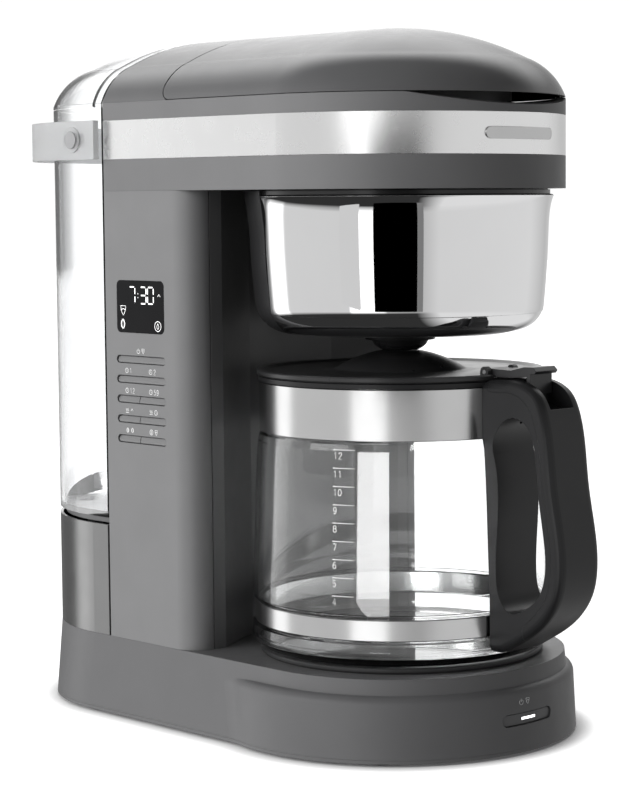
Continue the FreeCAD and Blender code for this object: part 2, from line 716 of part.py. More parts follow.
def crest_edges(inset, low, y):
    """Upright section of the lid and top covers, as a closed outline across X at this Y."""
    side = HALF_WIDTH - inset
    flank_mid = (FLANK_MID[0] - 0.8 * inset, FLANK_MID[1] - 0.6 * inset)
    flank_top = (FLANK_TOP[0] - 0.3 * inset, FLANK_TOP[1] - inset)
    foot = (DOME_FOOT[0] - 0.7 * inset, DOME_FOOT[1] - 0.8 * inset)
    crest = HEIGHT - inset
    radius = (foot[0] ** 2 + (crest - foot[1]) ** 2) / (2 * (crest - foot[1]))
    half = foot[0] / 2
    mid_z = crest - radius + math.sqrt(radius ** 2 - half ** 2)
    right = [arc(V(side, y, HEAD_TOP), V(flank_mid[0], y, flank_mid[1]), V(flank_top[0], y, flank_top[1])),
             line(V(flank_top[0], y, flank_top[1]), V(foot[0], y, foot[1])),
             arc(V(foot[0], y, foot[1]), V(half, y, mid_z), V(0, y, crest)),
             line(V(side, y, low), V(side, y, HEAD_TOP))]
    left = [mirror_x(edge) for edge in right]
    return right, left, side


def trim_below(shape, low):
    return shape.cut(box(-200, 200, -200, 400, low - 40, low))


def crest_bar(inset, low, y0, y1):
    """The crest section swept along Y, with a flat underside at low."""
    deep = HEAD_TOP - 14
    right, left, side = crest_edges(inset, deep, y0)
    bar = prism(right + left + [line(V(-side, y0, deep), V(side, y0, deep))], V(0, y1 - y0, 0))
    return trim_below(bar, low)


def crest_round(inset, low, y, front):
    """The crest section turned about an upright line, for a round end."""
    deep = HEAD_TOP - 14
    right, _, side = crest_edges(inset, deep, 0)
    floor = line(V(side, 0, deep), V(0, 0, deep))
    centre = line(V(0, 0, deep), V(0, 0, HEIGHT - inset))
    half = face_of(right + [floor, centre])
    start = -180.0 if front else 0.0
    half.rotate(V(0, 0, 0), UP, start)
    turned = half.revolve(V(0, 0, 0), UP, 180.0)
    turned.translate(V(0, y, 0))
    return trim_below(turned, low)


LID_LOW = HEAD_TOP + 0.35


def bar_x(radius, x0, x1, y):
    return cylinder(radius, x1 - x0, V(x0, y, LID_HINGE_Z), V(1, 0, 0))


def hinge_barrel(y, span=45.0):
    """Rolled edge about the hinge axis, trimmed to the crest's surface."""
    return bar_x(HINGE_BARREL, -span, span, y).common(crest_bar(0.0, LID_LOW, y - 10, y + 10))


def hinge_notches(y):
    """Room in the moving edge for the fixed lugs."""
    cuts = []
    for sx in (-1, 1):
        x0 = sx * (LUG_START - 0.3)
        x1 = sx * (LUG_END + 0.3)
        lo = min(x0, x1)
        hi = max(x0, x1)
        room = HINGE_BARREL + JOINT_GAP
        cuts.append(bar_x(room, lo, hi, y))
        cuts.append(box(lo, hi, y - room, y + room, LID_HINGE_Z, HEIGHT + 2))
    return fuse(cuts[:2]).fuse(fuse(cuts[2:]))


def hinge_groove(y, towards):
    """Groove for the rolled edge in the fixed cover, open at the top so that the lid can stand up."""
    room = HINGE_BARREL + JOINT_GAP
    groove = bar_x(room, -46, 46, y)
    opened = box(-46, 46, min(y, y + towards * room), max(y, y + towards * room), LID_HINGE_Z, HEIGHT + 2)
    return groove.fuse(opened)


def hinge_lugs(y, towards):
    """Fixed lugs that hold the pin; towards is +1 where the fixed cover lies behind the axis."""
    lugs = []
    for sx in (-1, 1):
        lo = min(sx * LUG_START, sx * LUG_END)
        hi = max(sx * LUG_START, sx * LUG_END)
        lug = bar_x(LUG_RADIUS, lo, hi, y)
        y_far = y + towards * (HINGE_BARREL + 2.5)
        arm = box(lo, hi, min(y, y_far), max(y, y_far), LID_HINGE_Z - LUG_RADIUS, LID_HINGE_Z + 0.6)
        lugs.append(lug.fuse(arm))
    joined = lugs[0].fuse(lugs[1])
    return joined.common(crest_bar(0.0, LID_LOW, y - 12, y + 12))


def pin_hole(y, clearance):
    return bar_x(HINGE_PIN + clearance, -LUG_END - 6, LUG_END + 6, y)


def hinge_pin(y):
    return bar_x(HINGE_PIN, -LUG_END - 4, LUG_END + 4, y)


def lid_hollow(low, inset=WALL):
    """Space inside the lid's shell."""
    return [crest_round(inset, low, 0.0, True), crest_bar(inset, low, 0.0, LID_REAR_Y - inset)]


def corner_cut(y):
    """Rounds the lower rear corner of the lid's flank: material outside the quarter circle."""
    r = LID_CORNER
    z = LID_LOW - 1
    x0 = -HALF_WIDTH - 5
    block = box(x0, -x0, y - r, y + 1, z, LID_LOW + r)
    keep = cylinder(r, -2 * x0, V(x0, y - r, LID_LOW + r), V(1, 0, 0))
    return block.cut(keep)


def lid_cover():
    hollow_round, hollow_bar = lid_hollow(LID_LOW - 3)
    front = crest_round(0.0, LID_LOW, 0.0, True).cut(hollow_round)
    rear = crest_bar(0.0, LID_LOW, 0.0, LID_REAR_Y).cut(hollow_bar)
    rear = rear.cut(corner_cut(LID_REAR_Y))
    roll = hinge_barrel(LID_REAR_Y)
    lid = fuse([front, rear, roll])
    lid = lid.cut(hinge_notches(LID_REAR_Y))
    return lid.cut(pin_hole(LID_REAR_Y, PIN_CLEARANCE))


LINER_TOP = 340.0
LINER_RADIUS = 58.0


def lid_liner():
    """Inner tray under the lid that carries the shower head."""
    tray = tube(LINER_RADIUS, LINER_RADIUS - 2.0, 322.0, LINER_TOP)
    floor = tube(LINER_RADIUS, 9.0, 320.0, 322.0)
    risers = []
    for turn in (45, 135, 225, 315):
        x = (LINER_RADIUS - 8) * math.cos(math.radians(turn))
        y = (LINER_RADIUS - 8) * math.sin(math.radians(turn))
        risers.append(cylinder(4.0, HEIGHT - 321.0, V(x, y, 321.0)))
    solid = fuse([tray, floor] + risers)
    inside = fuse(lid_hollow(300.0, WALL + FIT_GAP))
    cup_x = riser_x()
    cup = tube(7.5, 6.0, RISER_MOUTH + 1.0, 334.0, cup_x, RISER_FRONT_Y)
    roof = cylinder(7.5, 1.6, V(cup_x, RISER_FRONT_Y, 332.4))
    duct = box(cup_x - 6, cup_x + 6, LINER_RADIUS - 3.0, RISER_FRONT_Y - 5.0, 324.0, 334.0)
    solid = fuse([solid.common(inside), duct, cup, roof])
    bore = box(cup_x - 4.4, cup_x + 4.4, LINER_RADIUS - 4.0, RISER_FRONT_Y - 1.0, 325.6, 332.4)
    return solid.cut(bore)


SHOWER_RADIUS = 34.0
SHOWER_Z = 309.0


def shower_head():
    """Disc with a ring of drip holes, hung under the liner on a hollow neck."""
    disc = tube(SHOWER_RADIUS, 5.0, SHOWER_Z, SHOWER_Z + 2.0)
    floor = cylinder(6.0, 1.2, V(0, 0, SHOWER_Z))
    wall = tube(SHOWER_RADIUS, SHOWER_RADIUS - 1.6, SHOWER_Z, 320.0)
    neck = tube(8.9, 6.5, 311.0, 326.0)
    arms = []
    for turn in range(0, 180, 60):
        arm = box(-SHOWER_RADIUS + 1, SHOWER_RADIUS - 1, -0.8, 0.8, SHOWER_Z + 1, 318.0)
        arm.rotate(V(0, 0, 0), UP, turn)
        arms.append(arm)
    head = fuse([disc, floor, wall, neck] + arms)
    for ring, count in ((14.0, 8), (23.0, 12)):
        for i in range(count):
            turn = 2 * math.pi * (i + 0.5) / count
            hole = cylinder(1.5, 8, V(ring * math.cos(turn), ring * math.sin(turn), SHOWER_Z - 3))
            head = head.cut(hole)
    return head


def rear_top_cover():
    front = LID_REAR_Y + SEAM_GAP
    cover = crest_bar(0.0, HEAD_TOP, front, BACK_Y)
    hollow = crest_bar(WALL, HEAD_TOP - 1, front - 1, BACK_Y - WALL)
    cover = cover.cut(hollow)
    corner = box(-HALF_WIDTH, HALF_WIDTH, LID_REAR_Y - LID_CORNER, front, HEAD_TOP, LID_LOW + LID_CORNER)
    side = HALF_WIDTH + 15
    corner = corner.cut(cylinder(LID_CORNER + SEAM_GAP / 2, 2 * side,
                                 V(-side, LID_REAR_Y - LID_CORNER, LID_LOW + LID_CORNER), V(1, 0, 0)))
    corner = corner.cut(box(-side, side, 0, LID_REAR_Y - LID_CORNER + 2.5, HEAD_TOP - 1, HEAD_TOP + 20))
    shell = crest_bar(0.0, HEAD_TOP, 60, BACK_Y).cut(crest_bar(WALL, HEAD_TOP - 1, 59, BACK_Y))
    cover = fuse([cover, corner.common(shell)])
    cover = cover.cut(hinge_groove(LID_REAR_Y, 1))
    cover = fuse([cover, hinge_lugs(LID_REAR_Y, 1)])
    return cover.cut(pin_hole(LID_REAR_Y, 0.0))


# ---------------------------------------------------------------- brew chamber
def chamber_side(shift):
    """Outer profile of the bright shell, from its lower lip up to its flared rim."""
    corner = arc_points((58.7, 223.5), 15.0 + shift, -90, -4, 10)
    upper = [(75.1 + shift, 243.6), (76.0 + shift, 264.0), (77.0 + shift, 272.5), (79.0 + shift, 277.6)]
    return corner + upper


def chamber_back(shift):
    """Outer profile of the black chamber behind the shell."""
    corner = arc_points((57.5, CHAMBER_FLOOR + 17.3), 17.3 + shift, -90, -4, 10)
    upper = [(76.5 + shift, 242.0), (77.4 + shift, 260.0), (78.9 + shift, 272.0), (79.8 + shift, 277.6)]
    return corner + upper


RIM_TOP = 279.8


def brew_chamber():
    profile = chamber_back(0.0)
    low = CHAMBER_FLOOR
    top = RIM_TOP
    outline = [(0, low), (profile[0][0], low)] + profile[1:] + [(profile[-1][0], top), (0, top)]
    solid = revolve_rz(outline)
    inner = chamber_back(-CHAMBER_WALL - SHELL_WALL)
    floor = low + CHAMBER_WALL
    cavity = [(0, floor), (inner[0][0], floor)] + inner[1:] + [(inner[-1][0], top + 5), (0, top + 5)]
    cavity = [(r, max(z, floor)) for r, z in cavity]
    solid = solid.cut(revolve_rz(cavity))
    recess = chamber_side(-SHELL_WALL - FIT_GAP)
    lip = recess[0][0] - FIT_GAP * 2
    seat = [(lip, low - 5), (lip, recess[0][1])] + recess[1:]
    seat += [(recess[-1][0], top + 5), (120.0, top + 5), (120.0, low - 5)]
    sector = revolve_rz(seat, -90.0 - SHELL_HALF_ANGLE - 0.3, 2 * SHELL_HALF_ANGLE + 0.6)
    solid = solid.cut(sector)
    flange = tube(FLANGE_RADIUS - FIT_GAP, 70.0, HEAD_BOTTOM + WALL + 0.0, HEAD_BOTTOM + WALL + 2.0)
    neck = tube(76.4, 73.6, top - 6.0, HEAD_BOTTOM + WALL + 2.0)
    ring = tube(HALF_WIDTH - WALL - BAND_WALL - JOINT_GAP, 74.0, HEAD_BOTTOM + WALL, HEAD_BOTTOM + WALL + 2.0)
    solid = fuse([solid, neck, flange, ring])
    return solid.cut(cylinder(7.0, 20, V(0, 0, low - 5)))


def chamber_shell():
    outer = chamber_side(0.0)
    inner = chamber_side(-SHELL_WALL)
    outline = outer + inner[::-1]
    return revolve_rz(outline, -90.0 - SHELL_HALF_ANGLE, 2 * SHELL_HALF_ANGLE)


def outlet_nozzle():
    """Collar and rounded outlet under the chamber, with a seat for the drip-stop valve."""
    low = CHAMBER_FLOOR
    outline = [(5.0, NOZZLE_BOTTOM), (9.4, NOZZLE_BOTTOM)] + [(10.4, 198.3), (12.0, 199.3), (13.4, 200.5)]
    outline += [(15.0, 203.2), (NOZZLE_PLATE_RADIUS, 203.2), (NOZZLE_PLATE_RADIUS + 0.4, 204.6), (16.5, low)]
    outline += [(7.0, low), (7.0, 204.5), (5.0, 203.0)]
    return revolve_rz(outline)


VALVE_STEM = 2.4
VALVE_HEAD = 8.6
VALVE_SEAT_Z = CHAMBER_FLOOR + CHAMBER_WALL


def drip_valve():
    """Mushroom valve: its head covers the outlet from above and its tip reaches down through the nozzle."""
    head = cylinder(VALVE_HEAD, 1.6, V(0, 0, VALVE_SEAT_Z + 0.3))
    stem = cylinder(VALVE_STEM, VALVE_SEAT_Z + 0.3 - NOZZLE_BOTTOM - 0.2, V(0, 0, NOZZLE_BOTTOM + 0.2))
    knob = cylinder(VALVE_STEM, 2.5, V(0, 0, VALVE_SEAT_Z + 1.9))
    return fuse([head, stem, knob])


SPRING_RADIUS = 5.2
SPRING_WIRE = 0.5


def valve_spring():
    """Coil spring between the valve's head and the cage under the filter basket."""
    low = VALVE_SEAT_Z + 1.9 + SPRING_WIRE
    height = CAGE_Z - low - SPRING_WIRE
    pitch = height / 2.5
    helix = Part.makeHelix(pitch, height, SPRING_RADIUS)
    helix.translate(V(0, 0, low))
    circle = Part.Wire(Part.makeCircle(SPRING_WIRE, V(SPRING_RADIUS, 0, low), V(0, 1, 0)))
    return Part.Wire(helix).makePipeShell([circle], True, True)


CAGE_Z = 219.0


def filter_basket():
    """Lift-out basket with ribs inside and a hub that cages the valve's spring."""
    outer = [(0, CAGE_Z), (44.0, CAGE_Z), (57.5, 276.0), (73.2, 276.0), (73.2, 278.5), (0, 278.5)]
    inner = [(0, CAGE_Z + 2.0), (42.4, CAGE_Z + 2.0), (55.8, 279.0), (0, 279.0)]
    basket = revolve_rz(outer).cut(revolve_rz(inner))
    skirt = tube(30.0, 28.4, VALVE_SEAT_Z + 0.3, CAGE_Z + 0.5)
    legs = []
    for turn in range(0, 360, 60):
        opening = box(20, 40, -4.0, 4.0, VALVE_SEAT_Z - 1, VALVE_SEAT_Z + 5)
        opening.rotate(V(0, 0, 0), UP, turn)
        legs.append(opening)
    for opening in legs:
        skirt = skirt.cut(opening)
    basket = fuse([basket, skirt])
    for turn in range(0, 360, 45):
        x = 20.0 * math.cos(math.radians(turn))
        y = 20.0 * math.sin(math.radians(turn))
        basket = basket.cut(cylinder(3.0, 6, V(x, y, CAGE_Z - 2)))
    return basket


def mesh_filter():
    """Cone of fine mesh in a moulded frame, resting in the basket."""
    low = CAGE_Z + 2.4
    shell = [(40.6, low), (53.4, 276.5), (55.0, 278.7), (59.5, 278.7), (59.5, 279.9), (54.4, 279.9),
             (52.4, 277.2), (39.8, low + 0.9), (0, low + 0.9), (0, low)]
    cone = revolve_rz(shell)
    hoop = tube(47.6, 44.6, 245.0, 247.0)
    return cone.fuse(hoop).removeSplitter()


# ---------------------------------------------------------------- water path
SEAT_TOP = TANK_BOTTOM - 0.4
SEAT_VALVE_Y = 165.0
SEAT_VALVE_X = 30.0
VALVE_BORE = 8.0


def tank_seat():
    """Deck behind the column that the tank stands on, with the socket for its valve."""
    top = SEAT_TOP
    deck = prism(tank_plan(-3.5, top - 3.0, BACK_Y + 0.6), V(0, 0, 3.0))
    legs = [box(x - 3, x + 3, y - 3, y + 3, BASE_TOP, top - 2.0)
            for x, y in ((-60, 142), (60, 142), (-45, 200), (45, 200))]
    socket = tube(VALVE_BORE + 5.0, VALVE_BORE + 2.6, top - 16.0, top, SEAT_VALVE_X, SEAT_VALVE_Y)
    floor = tube(VALVE_BORE + 5.0, 3.2, top - 18.0, top - 16.0, SEAT_VALVE_X, SEAT_VALVE_Y)
    spout = tube(5.0, 3.2, top - 27.0, top - 18.0, SEAT_VALVE_X, SEAT_VALVE_Y)
    deck = deck.cut(cylinder(VALVE_BORE + 2.6, 8, V(SEAT_VALVE_X, SEAT_VALVE_Y, top - 6)))
    return fuse([deck] + legs + [socket, floor, spout])


def tank_seal():
    """Soft ring in the socket, which the tank's valve neck enters."""
    return tube(VALVE_BORE + 2.6, VALVE_BORE + JOINT_GAP, SEAT_TOP - 9.0, SEAT_TOP - 4.0, SEAT_VALVE_X, SEAT_VALVE_Y)


def bent_tube(points, radius, bore, bend):
    """A tube along straight runs joined by arcs."""
    path = []
    last = points[0]
    for before, corner, after in zip(points, points[1:], points[2:]):
        way_in = (corner - before).normalize()
        way_out = (after - corner).normalize()
        half = way_in.getAngle(way_out) / 2
        cut = bend * math.tan(half)
        start = corner - way_in * cut
        end = corner + way_out * cut
        inward = (way_out - way_in).normalize()
        centre = corner + inward * (bend / math.cos(half))
        path.append(line(last, start))
        path.append(arc(start, centre - inward * bend, end))
        last = end
    path.append(line(last, points[-1]))
    wire = Part.Wire(path)
    heading = points[1] - points[0]

    def sweep(r):
        ring = Part.Wire(Part.makeCircle(r, points[0], heading))
        return wire.makePipeShell([ring], True, False)

    return sweep(radius).cut(sweep(bore))


HOSE_RADIUS = 4.4


def inlet_hose():
    """Cold water: from the seat's spout down and forward to one end of the heating tube."""
    port, knee, run = heater_port(1)
    top = V(SEAT_VALVE_X, SEAT_VALVE_Y, SEAT_TOP - 27.0)
    route = [top, V(SEAT_VALVE_X, SEAT_VALVE_Y, TUBE_RUN_Z), run, knee, port]
    return bent_tube(route, HOSE_RADIUS, 2.8, 6.0)


RISER_RADIUS = 4.4


def riser_tube():
    """Hot water: from the heating tube's other end up the column to a mouth under the lid's cup."""
    port, knee, run = heater_port(-1)
    x = riser_x()
    route = [port, knee, run, V(x, RISER_BACK_Y, TUBE_RUN_Z), V(x, RISER_BACK_Y, RISER_TURN_Z),
             V(x, RISER_FRONT_Y, RISER_TURN_Z), V(x, RISER_FRONT_Y, RISER_MOUTH)]
    return bent_tube(route, RISER_RADIUS, 2.8, 6.0)


# ---------------------------------------------------------------- rear
def rear_cover():
    """Polished lower cover behind the column."""
    z0 = BASE_TOP
    z1 = SEAT_TOP - 3.6
    front = BACK_Y + 1.5
    outer = prism(tank_plan(0.0, z0, front), V(0, 0, z1 - z0))
    inner = prism(tank_plan(-1.6, z0 - 1, front - 5), V(0, 0, z1 - z0 + 2))
    shell = outer.cut(inner)
    hole = cylinder(CORD_COLLAR, 20, V(CORD_X, TANK_CENTRE_Y + HALF_WIDTH - 12, CORD_Z), V(0, 1, 0))
    return shell.cut(hole)


CORD_X = -25.0
CORD_Z = 58.0
CORD_COLLAR = 7.0
CORD_BORE = 3.8


def cord_inlet():
    """Flanged bush where a mains lead passes the rear cover."""
    y_face = TANK_CENTRE_Y + math.sqrt(HALF_WIDTH ** 2 - (abs(CORD_X) + 9) ** 2)
    back = y_face - 8.0
    sleeve = cylinder(CORD_COLLAR - 0.05, 14.0, V(CORD_X, back, CORD_Z), V(0, 1, 0))
    flange = cylinder(9.0, 2.0, V(CORD_X, back - 0.1, CORD_Z), V(0, 1, 0))
    plug = fuse([sleeve, flange])
    return plug.cut(cylinder(CORD_BORE, 40, V(CORD_X, back - 5, CORD_Z), V(0, 1, 0)))


# ---------------------------------------------------------------- tank
def tank_block(grow, low, high, front):
    return prism(tank_plan(grow, low, front), V(0, 0, high - low))


def tank_front():
    return BACK_Y + SEAM_GAP


TANK_RIM = HEAD_TOP - 1.9


def tank_body():
    front = tank_front()
    outer = tank_block(0.0, TANK_BOTTOM, TANK_RIM, front)
    cavity = tank_block(-TANK_WALL, TANK_BOTTOM + 3.0, TANK_RIM + 1, front + TANK_WALL)
    shell = outer.cut(cavity)
    bridge = crest_bar(0.0, TANK_RIM - 0.5, front, TANK_LID_Y - SEAM_GAP)
    bridge = bridge.cut(crest_bar(TANK_WALL, TANK_RIM - 2, front + TANK_WALL, TANK_LID_Y + 1))
    bridge = bridge.cut(hinge_groove(TANK_LID_Y, -1))
    lugs = hinge_lugs(TANK_LID_Y, -1)
    ramp_edges = polyline([V(-100, 205, TANK_BOTTOM + 2.5), V(-100, 240, TANK_BOTTOM + 2.5),
                           V(-100, 240, TANK_BOTTOM + 14), V(-100, 205, TANK_BOTTOM + 2.5)])
    ramp = prism(ramp_edges, V(200, 0, 0)).common(tank_block(-TANK_WALL / 2, TANK_BOTTOM + 2, TANK_RIM, front))
    neck = cylinder(VALVE_BORE, 12.0, V(SEAT_VALVE_X, SEAT_VALVE_Y, TANK_BOTTOM - 9.0))
    body = fuse([shell, bridge, lugs, ramp, neck])
    body = body.cut(cylinder(VALVE_BORE - 2.0, 16.0, V(SEAT_VALVE_X, SEAT_VALVE_Y, TANK_BOTTOM - 10)))
    body = body.cut(pin_hole(TANK_LID_Y, 0.0))
    for side in (-1, 1):
        start = V(side * (HALF_WIDTH - 6), PIVOT_Y, PIVOT_Z)
        body = body.cut(cylinder(PIVOT_RADIUS, 10, start, V(side, 0, 0)))
    return body


def tank_valve():
    """Foot valve in the tank's neck, simplified to its poppet and cage."""
    z = TANK_BOTTOM - 8.0
    cage = tube(VALVE_BORE - 2.0, VALVE_BORE - 3.2, z, z + 12.0, SEAT_VALVE_X, SEAT_VALVE_Y)
    bar = box(SEAT_VALVE_X - 5.5, SEAT_VALVE_X + 5.5, SEAT_VALVE_Y - 1, SEAT_VALVE_Y + 1, z + 8.0, z + 10.0)
    stem = cylinder(1.4, 16.0, V(SEAT_VALVE_X, SEAT_VALVE_Y, z))
    poppet = cylinder(VALVE_BORE - 3.2, 1.5, V(SEAT_VALVE_X, SEAT_VALVE_Y, z))
    return fuse([cage, bar, stem, poppet])


def tank_lid():
    low = TANK_RIM + 0.35
    front = TANK_LID_Y
    outer = fuse([crest_bar(0.0, low, front, TANK_CENTRE_Y), crest_round(0.0, low, TANK_CENTRE_Y, False)])
    inner = fuse([crest_bar(TANK_WALL, low - 3, front - 1, TANK_CENTRE_Y),
                  crest_round(TANK_WALL, low - 3, TANK_CENTRE_Y, False)])
    lid = fuse([outer.cut(inner), hinge_barrel(TANK_LID_Y)])
    lid = lid.cut(hinge_notches(TANK_LID_Y))
    return lid.cut(pin_hole(TANK_LID_Y, PIN_CLEARANCE))


def strap_plan(inner, z):
    c = STRAP_CENTRE_Y
    edges = []
    outer = inner + STRAP_THICK
    for r in (inner, outer):
        edges += [line(V(-r, STRAP_FRONT_Y, z), V(-r, c, z)),
                  arc(V(-r, c, z), V(0, c + r, z), V(r, c, z)),
                  line(V(r, c, z), V(r, STRAP_FRONT_Y, z))]
    for side in (-1, 1):
        edges.append(line(V(side * inner, STRAP_FRONT_Y, z), V(side * outer, STRAP_FRONT_Y, z)))
    return edges


def tank_handle():
    """Strap round the back of the tank, free to swing up on its two pivots."""
    band = prism(strap_plan(STRAP_INNER, STRAP_BOTTOM), V(0, 0, STRAP_TOP - STRAP_BOTTOM))
    bosses = []
    for side in (-1, 1):
        start = V(side * (STRAP_INNER + STRAP_THICK - 0.5), PIVOT_Y, PIVOT_Z)
        bosses.append(cylinder(PIVOT_HEAD, 1.3, start, V(side, 0, 0)))
    strap = fuse([band] + bosses)
    for side in (-1, 1):
        start = V(side * (STRAP_INNER - 2), PIVOT_Y, PIVOT_Z)
        strap = strap.cut(cylinder(PIVOT_RADIUS + PIN_CLEARANCE, 10, start, V(side, 0, 0)))
    return strap


def tank_pivots():
    """Two headed pins that carry the strap."""
    pins = []
    for side in (-1, 1):
        inner = V(side * (HALF_WIDTH - TANK_WALL), PIVOT_Y, PIVOT_Z)
        shank = cylinder(PIVOT_RADIUS, STRAP_INNER + STRAP_THICK + 1.2 - HALF_WIDTH + TANK_WALL, inner, V(side, 0, 0))
        spacer = cylinder(PIVOT_RADIUS + 2.0, STRAP_INNER - HALF_WIDTH - 0.3, V(side * HALF_WIDTH, PIVOT_Y, PIVOT_Z),
                          V(side, 0, 0))
        cap_start = V(side * (STRAP_INNER + STRAP_THICK + 1.0), PIVOT_Y, PIVOT_Z)
        cap = cylinder(PIVOT_RADIUS + 1.6, 0.8, cap_start, V(side, 0, 0))
        pins.append(fuse([shank, spacer, cap]))
    return Part.makeCompound(pins)


# ---------------------------------------------------------------- carafe
def glass_profile():
    """Outer outline of the glass from the middle of the bottom to the mouth."""
    z = CARAFE_BOTTOM
    r = COLLAR_RADIUS
    heel = arc_points((r - 2.9, z + 7.5), 7.5, -90, 0, 8)
    points = [(0.0, z)] + heel
    points += [(r + 4.5, 57.4), (BAND_SEAT, BAND_LOW_BOTTOM), (BAND_SEAT, BAND_LOW_TOP + 0.3), (r + 4.3, 71.6)]
    points += [(r + 4.2, 80.0), (r + 3.8, 90.0), (r + 3.2, 105.0), (r + 2.5, 125.0), (r + 1.8, 140.0)]
    points += [(r + 1.0, 152.0), (r + 0.2, 155.6), (r - 0.9, COLLAR_BOTTOM), (GLASS_NECK, CARAFE_RING_TOP - 0.8)]
    return points


CARAFE_RING_TOP = 185.2
CARAFE_RING_BOTTOM = 182.8


def carafe_glass():
    outer = glass_profile()
    inner = [(max(r - GLASS_WALL, 0.0), z) for r, z in outer]
    floor = CARAFE_BOTTOM + GLASS_WALL + 0.4
    hollow = [(r, z) for r, z in inner if z > floor + 0.5]
    outline = outer + hollow[::-1] + [(COLLAR_RADIUS - 7.1, floor), (0.0, floor)]
    solid = revolve_rz(outline)
    return solid


def carafe_collar():
    z0 = COLLAR_BOTTOM
    z1 = COLLAR_TOP
    r = COLLAR_RADIUS
    outline = [(r - COLLAR_WALL, z0), (r - 0.3, z0), (r, z0 + 0.3), (r, z1 - 0.3), (r - 0.3, z1), (r - COLLAR_WALL, z1)]
    return revolve_rz(outline)


def carafe_lower_band():
    r = BAND_LOW_RADIUS
    z0 = BAND_LOW_BOTTOM + 0.1
    z1 = BAND_LOW_TOP
    seat = BAND_SEAT + 0.02
    outline = [(seat, z0), (r - 0.3, z0), (r, z0 + 0.4), (r, z1 - 0.4), (r - 0.3, z1), (seat, z1)]
    return revolve_rz(outline)


def handle_outer(x):
    """Outside of the handle's side view, from the top of the post to its foot."""
    points = [(-84.0, 186.6), (-95.5, 186.0), (-105.5, 181.0), (-111.2, 171.0), (-114.4, 157.0), (-117.0, 135.0),
              (-GRIP_REACH + 1.2, 112.0), (-GRIP_REACH, 96.0), (-119.5, 81.0), (-110.0, 68.0), (-97.5, 59.0),
              (-86.0, 52.5)]
    return [V(x, y, z) for y, z in points]


def handle_seam(x):
    """Parting line between the inner moulding and the outer grip shell."""
    points = [(-84.0, 180.8), (-94.5, 179.4), (-101.8, 174.0), (-105.9, 165.0), (-108.6, 152.0), (-111.0, 133.0),
              (-114.8, 112.0), (-115.9, 96.0), (-113.4, 84.0), (-105.5, 73.0), (-97.5, 66.5)]
    return [V(x, y, z) for y, z in points]


def handle_inner(x):
    """The finger gap's outline, a closed loop."""
    points = [(-79.0, 150.0), (-82.5, 163.5), (-91.0, 168.6), (-99.5, 166.0), (-104.6, 158.0), (-106.6, 145.0),
              (-108.6, 128.0), (-111.9, 108.0), (-112.2, 94.0), (-108.4, 83.0), (-99.0, 75.0), (-89.0, 72.5),
              (-83.0, 78.0), (-80.4, 90.0)]
    return [V(x, y, z) for y, z in points]


def closed_spline(points):
    spline = Part.BSplineCurve()
    spline.interpolate(points, PeriodicFlag=True)
    return spline.toShape()


POST_BACK = -COLLAR_RADIUS + 13.1
POST_TOP = 185.4
POST_FOOT = 51.2


def inset_points(points, inset):
    """Moves the points of an open side-view curve towards the inside of the handle."""
    moved = []
    for i, point in enumerate(points):
        before = points[max(i - 1, 0)]
        after = points[min(i + 1, len(points) - 1)]
        along = (after - before).normalize()
        moved.append(point + V(0, -along.z, along.y) * inset)
    return moved


def handle_wire(x, inset):
    """Side outline of the whole handle at one place across its width."""
    outer = inset_points(handle_outer(x), inset)
    back_top = V(x, POST_BACK, POST_TOP - inset)
    back_foot = V(x, POST_BACK, POST_FOOT + inset)
    shoulder = V(x, -78.0, outer[0].z)
    heel = V(x, -81.0, POST_FOOT + inset)
    return Part.Wire([curve(outer)] + polyline([outer[-1], heel, back_foot, back_top, shoulder, outer[0]]))


def handle_block():
    """Whole handle with rounded edges along its outside, before it is parted."""
    wires = []
    steps = 5
    for i in range(steps + 1):
        turn = math.radians(90.0 * (1 - i / steps))
        x = -HANDLE_HALF + HANDLE_CORNER * (1 - math.sin(turn))
        wires.append(handle_wire(x, HANDLE_CORNER * (1 - math.cos(turn))))
    for i in range(steps + 1):
        turn = math.radians(90.0 * i / steps)
        x = HANDLE_HALF - HANDLE_CORNER * (1 - math.sin(turn))
        wires.append(handle_wire(x, HANDLE_CORNER * (1 - math.cos(turn))))
    block = loft(wires)
    gap = Part.Face(Part.Wire(closed_spline(handle_inner(-HANDLE_HALF - 1)))).extrude(V(2 * HANDLE_HALF + 2, 0, 0))
    return block.cut(gap)


def carafe_clear():
    """Space of the glass, its bands and the lid, which the handle must stay out of."""
    r = COLLAR_RADIUS
    outline = [(0, CARAFE_BOTTOM - 1), (r + 4.6, CARAFE_BOTTOM - 1), (r + 4.6, 57.6), (r + 4.4, 80.0), (r + 3.9, 90.0),
               (r + 3.3, 105.0), (r + 2.6, 125.0), (r + 1.9, 140.0), (r + 1.1, 152.0), (r + 0.3, 156.0), (r + 0.02, 157.0),
               (r + 0.02, CARAFE_LID_BOTTOM - 0.2), (CARAFE_LID_RADIUS + JOINT_GAP, CARAFE_LID_BOTTOM - 0.2),
               (CARAFE_LID_RADIUS + JOINT_GAP, 200.0), (0, 200.0)]
    return revolve_rz(outline)


def grip_region():
    """Everything outside the parting line."""
    x = -HANDLE_HALF - 1
    seam = handle_seam(x)
    rim = [V(x, -75.5, 180.8), seam[0]]
    tail = [seam[-1], V(x, -97.0, 40.0), V(x, -140.0, 40.0), V(x, -140.0, 195.0), V(x, -75.5, 195.0), V(x, -75.5, 180.8)]
    return face_of([curve(seam)] + polyline(rim) + polyline(tail)).extrude(V(2 * HANDLE_HALF + 2, 0, 0))


